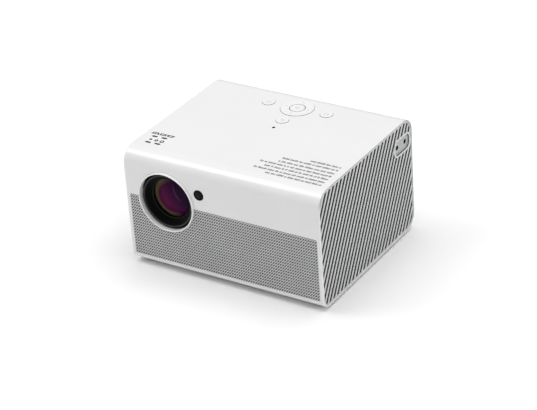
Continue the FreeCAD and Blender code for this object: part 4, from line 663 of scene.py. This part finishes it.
middle, level = top_of("status_light")
surround = stroke(circle(1.42), RING_LINE, closed=True)
printed("light_surround", placed(surround, middle), level, ink_black, "housing")

# ---------------------------------------------------------------- printing on the top
# Two adjusting marks are screen printed in black beside the lens dials, each a picture of what its dial does
# over a pair of arrows, and seven rows of plain upright ticks fill the panel at the right side.

# Everything printed here is drawn in millimetres. A dial mark has its x, its y and its arrows' y, and a row
# of ticks has the x of its left end and its y. A row fills from the right with words of a few ticks each.
PICTURE_LINE = 1.2
KEYSTONE_STEP, FOCUS_STEP = 8.2, 6.2
DIAL_MARKS = ((-86.7, -44.9, -50.8), (-86.2, -57.2, -63.0))
ARROW_LEFT, ARROW_RIGHT = (-5.9, 0.0), (5.2, 0.4)
INK_DARK = (0.06, 0.06, 0.064)
INK_DARK_THIN = (0.10, 0.10, 0.105)
ROWS = ((66.0, -31.2), (40.0, -36.9), (35.6, -43.3), (22.8, -49.2), (30.5, -55.0), (23.9, -61.0),
        (38.1, -66.6))
ROW_RIGHT = 97.0
WORD_ROOM = 2.0
WORD_TICKS = (2, 8)
TICK_DOWN = 1.2
TICK_HEIGHTS = (1.2, 1.2, 1.8)
TICK_WIDTHS = (0.6, 1.0)
TICK_PITCH = 1.2
TICK_GAP, WORD_GAP = 0.4, 1.1
TICK_SEED = 11

arrow_left = [np.array([(-0.2, -1.9), (-0.2, 1.9), (-3.4, 0)]),
              np.array([(3.4, -1.1), (3.4, 1.1), (-0.3, 1.1), (-0.3, -1.1)])]
arrow_right = [shape * (-1, 1) for shape in arrow_left]
squared = [(-2.8, -1.2), (2.8, -1.2), (2.8, 1.2), (-2.8, 1.2)]
leaned = [(-3.5, -1.2), (3.5, -1.2), (2.3, 1.2), (-2.3, 1.2)]
leaned_over = [(x, -y) for x, y in reversed(leaned)]
keystone_picture = [shape + (KEYSTONE_STEP * step, 0)
                    for step, outline in ((-1, leaned), (0, squared), (1, leaned_over))
                    for shape in stroke(outline, PICTURE_LINE, closed=True)]
focus_picture = [shape + (FOCUS_STEP * step, 0) for step, radius in ((-1, 0.9), (0, 1.3), (1, 1.7))
                 for shape in stroke(circle(radius), PICTURE_LINE, closed=True)]
dial_marks = []
for (x, y, arrow_y), picture in zip(DIAL_MARKS, (keystone_picture, focus_picture)):
    dial_marks += placed(picture, (x * MM, y * MM))
    for arrow, (across, up) in ((arrow_left, ARROW_LEFT), (arrow_right, ARROW_RIGHT)):
        dial_marks += placed(arrow, ((x + across) * MM, (arrow_y + up) * MM))
printed("dial_marks", dial_marks, shell_high[2], ink_black, "housing")

ink_dark = inked("ink_dark", INK_DARK, INK_DARK_THIN)
random = np.random.default_rng(TICK_SEED)
ticks = []
for left, y in ROWS:
    x = ROW_RIGHT
    while x > left + WORD_ROOM:
        for _ in range(min(random.integers(*WORD_TICKS), 1 + int((x - left) / TICK_PITCH))):
            tall, wide = random.choice(TICK_HEIGHTS), random.uniform(*TICK_WIDTHS)
            corners = [(x - wide, y - TICK_DOWN), (x, y - TICK_DOWN), (x, y + tall), (x - wide, y + tall)]
            ticks.append(np.array(corners) * MM)
            x -= wide + TICK_GAP
        x -= WORD_GAP
printed("feature_rules", ticks, shell_high[2], ink_dark, "housing")

# ---------------------------------------------------------------- infrared window and sound jacks
# The window is polished smoke-black acrylic with a faint grey disc, over a resin receiver. The two jacks are
# moulded black and stand on a little board behind the pocket in the right panel.

WINDOW_BLACK = (0.0015, 0.0015, 0.002)
WINDOW_LIT = (0.003, 0.003, 0.0035)
RESIN_BLUE = (0.02, 0.02, 0.03)
RESIN_RED = (0.05, 0.04, 0.06)
JACK_BLACK = (0.004, 0.004, 0.004)
JACK_WORN = (0.008, 0.008, 0.008)
EYE_BLACK = (0.010, 0.010, 0.011)
EYE_LIT = (0.016, 0.016, 0.017)
EYE_RADIUS = 3.4 * MM
EYE_PROUD, EYE_EDGE, EYE_DEEP = 0.02 * MM, 0.015 * MM, 0.05 * MM

window_black = finish("window_black", {"Roughness": 0.08, "Specular IOR Level": 0.05},
                      lambda place: {"Base Color": mixed(noise(place, 5 * MM), WINDOW_BLACK, WINDOW_LIT)})
sensor_resin = finish("sensor_resin", {"Roughness": 0.3},
                      lambda place: {"Base Color": mixed(noise(place, 2 * MM), RESIN_BLUE, RESIN_RED)})
jack_black = finish("jack_black", {"Specular IOR Level": 0.2}, moulded(JACK_WORN, JACK_BLACK, gloss=0.45))
eye_grey = finish("eye_grey", {"Roughness": 0.35, "Specular IOR Level": 0.05},
                  lambda place: {"Base Color": mixed(noise(place, 1.5 * MM), EYE_BLACK, EYE_LIT)})
dress(window_black, "ir_window")
dress(sensor_resin, "ir_receiver")
dress(jack_black, "audio_jacks")

eye_centre = middle_of("ir_window")[[0, 2]]
eye_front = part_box("ir_window")[0][1]
eye_profile = [(0.0, eye_front - EYE_PROUD), (0.0, eye_front + EYE_DEEP),
               (EYE_RADIUS, eye_front + EYE_DEEP), (EYE_RADIUS, eye_front - EYE_EDGE)]
piece("window_eye", *welded(*swept(eye_profile, 48, eye_centre)), eye_grey, "housing", "black_window", True)

# ---------------------------------------------------------------- speakers
# Two 40 mm drivers are fixed to the back of a black baffle behind the grille. Each is a pressed frame with a
# black paper cone, a rolled edge and a dust cap.

CONE_BLACK = (0.02, 0.02, 0.02)
CONE_FIBRE = (0.05, 0.05, 0.048)

cone_paper = finish("cone_paper", {"Roughness": 0.85},
                    lambda place: {"Base Color": mixed(noise(place, 0.7 * MM, 4.0), CONE_BLACK, CONE_FIBRE),
                                   "Normal": bumped(noise(place, 0.4 * MM, 4.0), 0.05 * MM)})
dress(cone_paper, "left_speaker", "right_speaker")
dress(black_matt, "speaker_baffle")

# ---------------------------------------------------------------- light engine and fan
# A black case holds the display panel between two fresnel plates, with a condenser and a white LED behind.
# The LED sits on an extruded heat sink, and a 50 mm fan at its side blows across the fins.

GROOVE = 0.6 * MM
GROOVE_GREY = (0.55, 0.60, 0.62)
ACRYLIC = (0.70, 0.74, 0.76)
ACRYLIC_SHADED = tuple(0.9 * part for part in ACRYLIC)
PICTURE_REACH = (24.4 * MM, 18.4 * MM)
PANEL_GLASS = (0.020, 0.022, 0.028)
PANEL_GLASS_LIT = (0.035, 0.038, 0.045)
PANEL_FRAME = (0.45, 0.45, 0.46)
LAMP_MASK = (0.75, 0.76, 0.74)
LAMP_MASK_SHADED = (0.68, 0.69, 0.67)
PHOSPHOR = (0.75, 0.58, 0.10)
PHOSPHOR_REACH = 6.0 * MM
ALUMINIUM = (0.80, 0.81, 0.82)
ALUMINIUM_DARK = (0.66, 0.67, 0.68)
STICKER_GREY = (0.32, 0.32, 0.33)
STICKER_RADIUS, STICKER_DEPTH = 8.0 * MM, 0.75 * MM

fan_y = middle_of("fan_rotor")[1]
hub_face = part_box("fan_rotor")[1][0]


def waved(angle):
    """A wave between 0 and 1: half of one plus the sine of an angle."""
    return 0.5 + 0.5 * angle.math("SINE")


def grooved(place):
    """Fresnel grooves: fine rings about the lens axis, cut into a pale clear plate."""
    rings = waved(from_lens(place)[0] * (2 * math.pi / GROOVE))
    return {"Base Color": mixed(rings, GROOVE_GREY, ACRYLIC), "Normal": bumped(rings, 0.05 * MM)}


def panelled(place):
    """A display panel: dark glass in the picture area, with a plated frame round it."""
    right, up = from_lens(place)[1:]
    inside = (abs(right) < PICTURE_REACH[0]) * (abs(up) < PICTURE_REACH[1])
    glass = mixed(noise(place, 6 * MM), PANEL_GLASS, PANEL_GLASS_LIT)
    return {"Base Color": mixed(inside, PANEL_FRAME, glass), "Roughness": 0.35 - 0.28 * inside,
            "Metallic": 0.9 - 0.9 * inside}


def lamp_topped(place):
    """The LED's board: white solder mask, with the yellow phosphor square in the middle."""
    right, up = from_lens(place)[1:]
    chip = (abs(right) < PHOSPHOR_REACH) * (abs(up) < PHOSPHOR_REACH)
    mask = mixed(noise(place, 2 * MM), LAMP_MASK, LAMP_MASK_SHADED)
    return {"Base Color": mixed(chip, mask, PHOSPHOR), "Roughness": 0.4 + 0.2 * noise(place, 1 * MM)}


def drawn(light, dark, grain, rough=0.28):
    """Metal with a drawing grain: noise stretched along the way that the metal ran.

    The grain is the noise's scale along x, y and z, in blotches to the metre, least along the drawing."""
    def varying(place):
        stretched = place.node("Mapping", None, {"Vector": place, "Scale": grain})
        streaks = stretched.node("TexNoise", None, {"Vector": stretched, "Scale": 1.0, "Detail": 3.0})
        return {"Base Color": mixed(streaks, dark, light), "Roughness": rough + 0.18 * streaks,
                "Normal": bumped(streaks, 0.004 * MM)}
    return varying


def labelled(place):
    """Fan rotor in black nylon, with a plain grey sticker on its hub."""
    x, y, z = axes(place)
    sticker = (apart(y - fan_y, z - lens_centre[1]) < STICKER_RADIUS) * (x > hub_face - STICKER_DEPTH)
    return {"Base Color": mixed(sticker, mixed(noise(place, 3 * MM), BLACK, BLACK_WORN), STICKER_GREY),
            "Roughness": 0.42 + 0.1 * noise(place, 2 * MM)}


fresnel_clear = finish("fresnel_clear", {"Roughness": 0.12, "Coat Weight": 1.0}, grooved)
optic_clear = finish("optic_clear", {"IOR": 1.49, "Coat Weight": 1.0, "Coat Roughness": 0.03},
                     lambda place: {"Base Color": mixed(noise(place, 12 * MM), ACRYLIC, ACRYLIC_SHADED),
                                    "Roughness": 0.05 + 0.03 * noise(place, 3 * MM)})
panel_glass = finish("panel_glass", {"Coat Weight": 0.5}, panelled)
lamp_board = finish("lamp_board", {}, lamp_topped)
extruded = finish("extruded_aluminium", {"Metallic": 1.0}, drawn(ALUMINIUM, ALUMINIUM_DARK, (60, 60, 1500)))
fan_black = finish("fan_black", {}, labelled)
dress(black_matt, "light_engine_case", "fan_frame")
dress(fresnel_clear, "fresnel_lenses")
dress(panel_glass, "display_panel")
dress(optic_clear, "condenser_lens")
dress(lamp_board, "led_board")
dress(extruded, "heat_sink")
dress(fan_black, "fan_rotor")

# ---------------------------------------------------------------- key switches and ring cradle
# Rubber dome switches stand on a small green board, which hangs on four posts under the top. A black cradle
# between the board and the ring key lets the key tilt four ways.

BOARD_TOP = 1.65 * MM
MASK_GREEN = (0.010, 0.085, 0.035)
TRACK_GREEN = (0.030, 0.165, 0.075)
CELL = 3.2 * MM
TRACK_WIDTH = 0.10
CHIP_BLACK = (0.018, 0.018, 0.018)
DOME_BLACK = (0.05, 0.05, 0.05)


def board(level, parts_colour=CHIP_BLACK):
    """Circuit board: green mask with paler tracks under it, and whatever stands above it in dark resin."""
    def varying(place):
        z = axes(place)[2]
        cell = place.node("TexVoronoi", {"feature": "DISTANCE_TO_EDGE", "distance": "MANHATTAN"},
                          {"Vector": place, "Scale": 1 / CELL})
        track = (cell < TRACK_WIDTH) * 0.7
        mask = mixed(track + 0.3 * noise(place, 8 * MM), MASK_GREEN, TRACK_GREEN)
        raised = z > level + BOARD_TOP
        return {"Base Color": mixed(raised, mask, parts_colour),
                "Roughness": 0.35 + 0.25 * noise(place, 1 * MM), "Normal": bumped(track, 0.03 * MM)}
    return varying


key_board_green = finish("key_board_green", {"Coat Weight": 0.2},
                         board(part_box("key_board")[0][2], DOME_BLACK))
dress(key_board_green, "key_board")
dress(black_matt, "ring_cradle")

# ---------------------------------------------------------------- disc drive
# A slim drive in a plated steel case. Its black tray runs on telescopic rails and carries the motor, the hub
# with three sprung balls, and the pickup on two rods with its lead screw. The white front closes the opening.

STEEL = (0.72, 0.72, 0.73)
STEEL_DARK = (0.58, 0.58, 0.60)
ROD = (0.82, 0.82, 0.83)
ROD_DARK = (0.70, 0.70, 0.72)
MOTOR = (0.66, 0.66, 0.67)
MOTOR_DARK = (0.50, 0.50, 0.52)
FRONT_WHITE = (0.72, 0.72, 0.718)
TRAY_BLACK = (0.020, 0.020, 0.021)
TRAY_WORN = (0.032, 0.032, 0.033)
DISC_REST = (58.0 * MM, 61.6 * MM)
HUB_METAL = (0.60, 0.60, 0.62)
HUB_RUBBER = (0.022, 0.022, 0.022)
HUB_RING = (7.6 * MM, 10.2 * MM)
SLED_GREY = (0.05, 0.05, 0.055)
SLED_LIT = (0.09, 0.09, 0.095)
SLED_LENS = (0.06, 0.10, 0.22)
SLED_LENS_Y = -3.0 * MM
SLED_LENS_RADIUS = 1.9 * MM
THREAD_LOW = (0.42, 0.42, 0.44)
THREAD_HIGH = (0.80, 0.80, 0.82)
SCREW_PITCH = 3.0 * MM

spindle_x, spindle_y = middle_of("spindle_hub")[:2]
screw_x, screw_z = middle_of("lead_screw")[[0, 2]]


def from_disc(place):
    """Distance from the spindle's axis."""
    x, y, _ = axes(place)
    return apart(x - spindle_x, y - spindle_y)


def trayed(place):
    """Black tray plastic: spark-eroded grain, smoother in the ring where the disc's edge would rest."""
    distance = from_disc(place)
    rest = (distance > DISC_REST[0]) * (distance < DISC_REST[1])
    return {"Base Color": mixed(noise(place, 20 * MM), TRAY_BLACK, TRAY_WORN),
            "Roughness": 0.52 - 0.22 * rest, "Normal": bumped(noise(place, 0.45 * MM, 4.0), 0.03 * MM)}


def threaded(place):
    """Lead screw: a rolled thread, as a wave along the axis that turns once round it per pitch."""
    x, y, z = axes(place)
    turn = (z - screw_z).math("ARCTAN2", x - screw_x)
    wave = waved(y * (2 * math.pi / SCREW_PITCH) + turn)
    return {"Base Color": mixed(wave, THREAD_LOW, THREAD_HIGH), "Normal": bumped(wave, 0.25 * MM)}


def hubbed(place):
    """Hub: a rubber ring on the turntable round a bright centring cone."""
    distance = from_disc(place)
    rubber = (distance > HUB_RING[0]) * (distance < HUB_RING[1])
    return {"Base Color": mixed(rubber, HUB_METAL, HUB_RUBBER), "Metallic": 1.0 - rubber,
            "Roughness": 0.28 + 0.45 * rubber}


def sledded(place):
    """Pickup: a die-cast sled painted dark, with the small clear lens in the middle."""
    x, y, _ = axes(place)
    lens = apart(x - spindle_x, y - SLED_LENS_Y) < SLED_LENS_RADIUS
    return {"Base Color": mixed(lens, mixed(noise(place, 2 * MM), SLED_GREY, SLED_LIT), SLED_LENS),
            "Roughness": 0.45 - 0.40 * lens}


plated = finish("plated_steel", {"Metallic": 1.0}, drawn(STEEL, STEEL_DARK, (900, 40, 900)))
bright_rod = finish("bright_rod", {"Metallic": 1.0}, drawn(ROD, ROD_DARK, (1500, 30, 1500), 0.12))
motor_steel = finish("motor_steel", {"Metallic": 1.0}, drawn(MOTOR, MOTOR_DARK, (300, 300, 300)))
tray_black = finish("tray_black", {}, trayed)
screw_steel = finish("screw_steel", {"Metallic": 1.0, "Roughness": 0.22}, threaded)
hub_mixed = finish("hub_metal_and_rubber", {}, hubbed)
sled_dark = finish("sled_dark", {"Coat Weight": 0.3}, sledded)
front_white = finish("front_white", {"Coat Weight": 0.25, "Coat Roughness": 0.12},
                     moulded(FRONT_WHITE, REAR_WHITE, gloss=0.40, depth=0.005 * MM))
dress(plated, "drive_case", "tray_rails", "board_standoffs")
dress(bright_rod, "guide_rods")
dress(motor_steel, "spindle_motor")
dress(tray_black, "disc_tray")
dress(screw_steel, "lead_screw")
dress(hub_mixed, "spindle_hub")
dress(sled_dark, "pickup_sled")
dress(front_white, "tray_front", "eject_key")

eject_picture = [np.array([(-1.3, -0.1), (1.3, -0.1), (0.0, 1.25)]),
                 np.array([(-1.3, -1.05), (1.3, -1.05), (1.3, -0.55), (-1.3, -0.55)])]
eject_mark = placed(eject_picture, middle_of("eject_key")[[0, 2]] * (-1, 1))
printed("eject_mark", eject_mark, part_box("eject_key")[1][1], ink_grey, "eject", rear=True)

# ---------------------------------------------------------------- boards, sockets and mains inlet
# Green glass-fibre boards carry the electronics, with sockets in folded steel and a figure-eight mains inlet
# moulded in black, whose two pins are plated brass.

SOCKET_SHELL = 0.55 * MM
SOCKET_LIP = 0.05 * MM
SHELL_GREY = (0.60, 0.60, 0.61)
SHELL_LIT = (0.72, 0.72, 0.73)
TONGUE_BLACK = (0.012, 0.012, 0.013)
TAPE_YELLOW = (0.55, 0.36, 0.04)
TAPE_REAR = 14.0 * MM
PIN_BRASS = (0.75, 0.68, 0.50)
PIN_SPREAD, PIN_RADIUS, PIN_DEPTH = 4.3 * MM, 1.3 * MM, 13.5 * MM

power_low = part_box("power_board")[0][2]
inlet_x, inlet_z = middle_of("power_inlet")[[0, 2]]
inlet_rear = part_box("power_inlet")[1][1]


def socketed(place):
    """Sockets: a bright plated shell, with the tongue and the back of the mouth in black plastic."""
    x, y, z = axes(place)
    inside = 0.0
    for name in ("hdmi_socket", "usb_socket"):
        low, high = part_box(name)
        middle, reach = middle_of(name), np.subtract(high, low) / 2 - SOCKET_SHELL
        mouth = within(x, middle[0], reach[0]) * within(z, middle[2], reach[2])
        inside = inside + mouth * (y < high[1] - SOCKET_LIP)
    return {"Base Color": mixed(inside, mixed(noise(place, 2 * MM), SHELL_GREY, SHELL_LIT), TONGUE_BLACK),
            "Metallic": 1.0 - inside, "Roughness": 0.30 + 0.2 * inside}


def powered(place):
    """Power board: green below, a yellow taped transformer and black capacitors above."""
    _, y, z = axes(place)
    below = board(power_low)(place)
    tape = (y < TAPE_REAR) * (z > power_low + BOARD_TOP)
    return below | {"Base Color": mixed(tape, below["Base Color"], TAPE_YELLOW)}


def pinned(place):
    """Inlet: black moulding, with the two pins bright at the back of the recess."""
    x, y, z = axes(place)
    round_pin = apart(abs(x - inlet_x) - PIN_SPREAD, z - inlet_z) < PIN_RADIUS
    pin = round_pin * (y > inlet_rear - PIN_DEPTH)
    return {"Base Color": mixed(pin, mixed(noise(place, 3 * MM), BLACK, BLACK_WORN), PIN_BRASS),
            "Metallic": pin, "Roughness": 0.45 - 0.2 * pin}


main_green = finish("main_board_green", {"Coat Weight": 0.2}, board(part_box("main_board")[0][2]))
power_green = finish("power_board_green", {"Coat Weight": 0.1}, powered)
socket_plated = finish("socket_plated", {}, socketed)
inlet_black = finish("inlet_black", {}, pinned)
dress(main_green, "main_board", "jack_board")
dress(power_green, "power_board")
dress(socket_plated, "hdmi_socket", "usb_socket")
dress(inlet_black, "power_inlet")

# ---------------------------------------------------------------- feet, screws and tripod insert
# Four rubber feet are glued in seats under the base. The front foot is a rubber pad on a steel screw, and the
# tripod insert is turned brass pressed into its boss.

RUBBER = (0.018, 0.018, 0.018)
RUBBER_DUSTY = (0.034, 0.034, 0.033)
BRASS = (0.78, 0.60, 0.30)
BRASS_DARK = (0.62, 0.46, 0.20)

foot_rubber = finish("foot_rubber", {"Specular IOR Level": 0.25},
                     lambda place: {"Base Color": mixed(noise(place, 2 * MM, 4.0), RUBBER, RUBBER_DUSTY),
                                    "Roughness": 0.7 + 0.15 * noise(place, 1 * MM),
                                    "Normal": bumped(noise(place, 0.5 * MM), 0.03 * MM)})
turned_brass = finish("turned_brass", {"Metallic": 1.0}, drawn(BRASS, BRASS_DARK, (200, 200, 2500), 0.2))
dress(foot_rubber, "rubber_feet", "tilt_foot_pad")
dress(turned_brass, "tripod_insert")
dress(plated, "base_screws", "tilt_foot_screw")

# ---------------------------------------------------------------- floor, light and camera
# A plain white table top, a pale dome of sky light, a large soft box over the top, a smaller one at the front
# left that runs a bright line along the rounded top edge, and a weak one at the right.

FLOOR = (0.985, 0.985, 0.985)
FLOOR_LIT = tuple(1.01 * part for part in FLOOR)
FLOOR_REACH = 12.0
LIGHT_AIM = Vector((0, 0, 0.05))
SKY = 0.42
AIM = Vector((0.00086, -0.00774, 0.04766))
AZIMUTH, ELEVATION, ROLL, AWAY = 33.548, 29.321, -4.052, 1.9071
FOCAL_LENGTH = 135.2
SENSOR_WIDTH = 36

floor_paint = finish("floor_paint", {"Roughness": 0.9, "Specular IOR Level": 0.1},
                     lambda place: {"Base Color": mixed(noise(place, 0.8), FLOOR, FLOOR_LIT)})
floor_mesh = bpy.data.meshes.new("floor")
floor_corners = [(-FLOOR_REACH, -FLOOR_REACH, 0), (FLOOR_REACH, -FLOOR_REACH, 0),
                 (FLOOR_REACH, FLOOR_REACH, 0), (-FLOOR_REACH, FLOOR_REACH, 0)]
floor_mesh.from_pydata(floor_corners, [], [(0, 1, 2, 3)])
floor_mesh.materials.append(floor_paint)
floor = bpy.data.objects.new("floor", floor_mesh)
bpy.context.scene.collection.objects.link(floor)


def soft_box(name, spot, side, power):
    """A square area light of a side in metres and a power in watts, which looks at the middle of the case."""
    lamp = bpy.data.lights.new(name, "AREA")
    lamp.size = side
    lamp.energy = power
    holder = bpy.data.objects.new(name, lamp)
    holder.location = spot
    holder.rotation_euler = (LIGHT_AIM - Vector(spot)).to_track_quat("-Z", "Y").to_euler()
    bpy.context.scene.collection.objects.link(holder)


soft_box("over_box", (0.15, 0.2, 1.9), side=1.7, power=23.0)
soft_box("edge_box", (-0.95, -0.5, 1.6), side=0.7, power=7.0)
soft_box("side_box", (2.3, 0.2, 0.9), side=1.2, power=8.0)

world = bpy.data.worlds.new("studio")
world.use_nodes = True
world.node_tree.nodes["Background"].inputs["Color"].default_value = (1, 1, 1, 1)
world.node_tree.nodes["Background"].inputs["Strength"].default_value = SKY
scene = bpy.context.scene
scene.world = world
scene.view_settings.view_transform = "Standard"

azimuth, elevation, roll = map(math.radians, (AZIMUTH, ELEVATION, ROLL))
sideways = Vector((math.cos(azimuth), math.sin(azimuth), 0))
back = Vector((math.sin(azimuth) * math.cos(elevation), -math.cos(azimuth) * math.cos(elevation),
               math.sin(elevation)))
right = math.cos(roll) * sideways + math.sin(roll) * back.cross(sideways)
turned = Matrix((right, back.cross(right), back)).transposed().to_4x4()
eye = bpy.data.cameras.new("camera")
eye.lens = FOCAL_LENGTH
eye.sensor_width = SENSOR_WIDTH
eye.clip_start = 0.05
camera = bpy.data.objects.new("camera", eye)
camera.matrix_world = Matrix.Translation(AIM + AWAY * back) @ turned
scene.collection.objects.link(camera)
scene.camera = camera
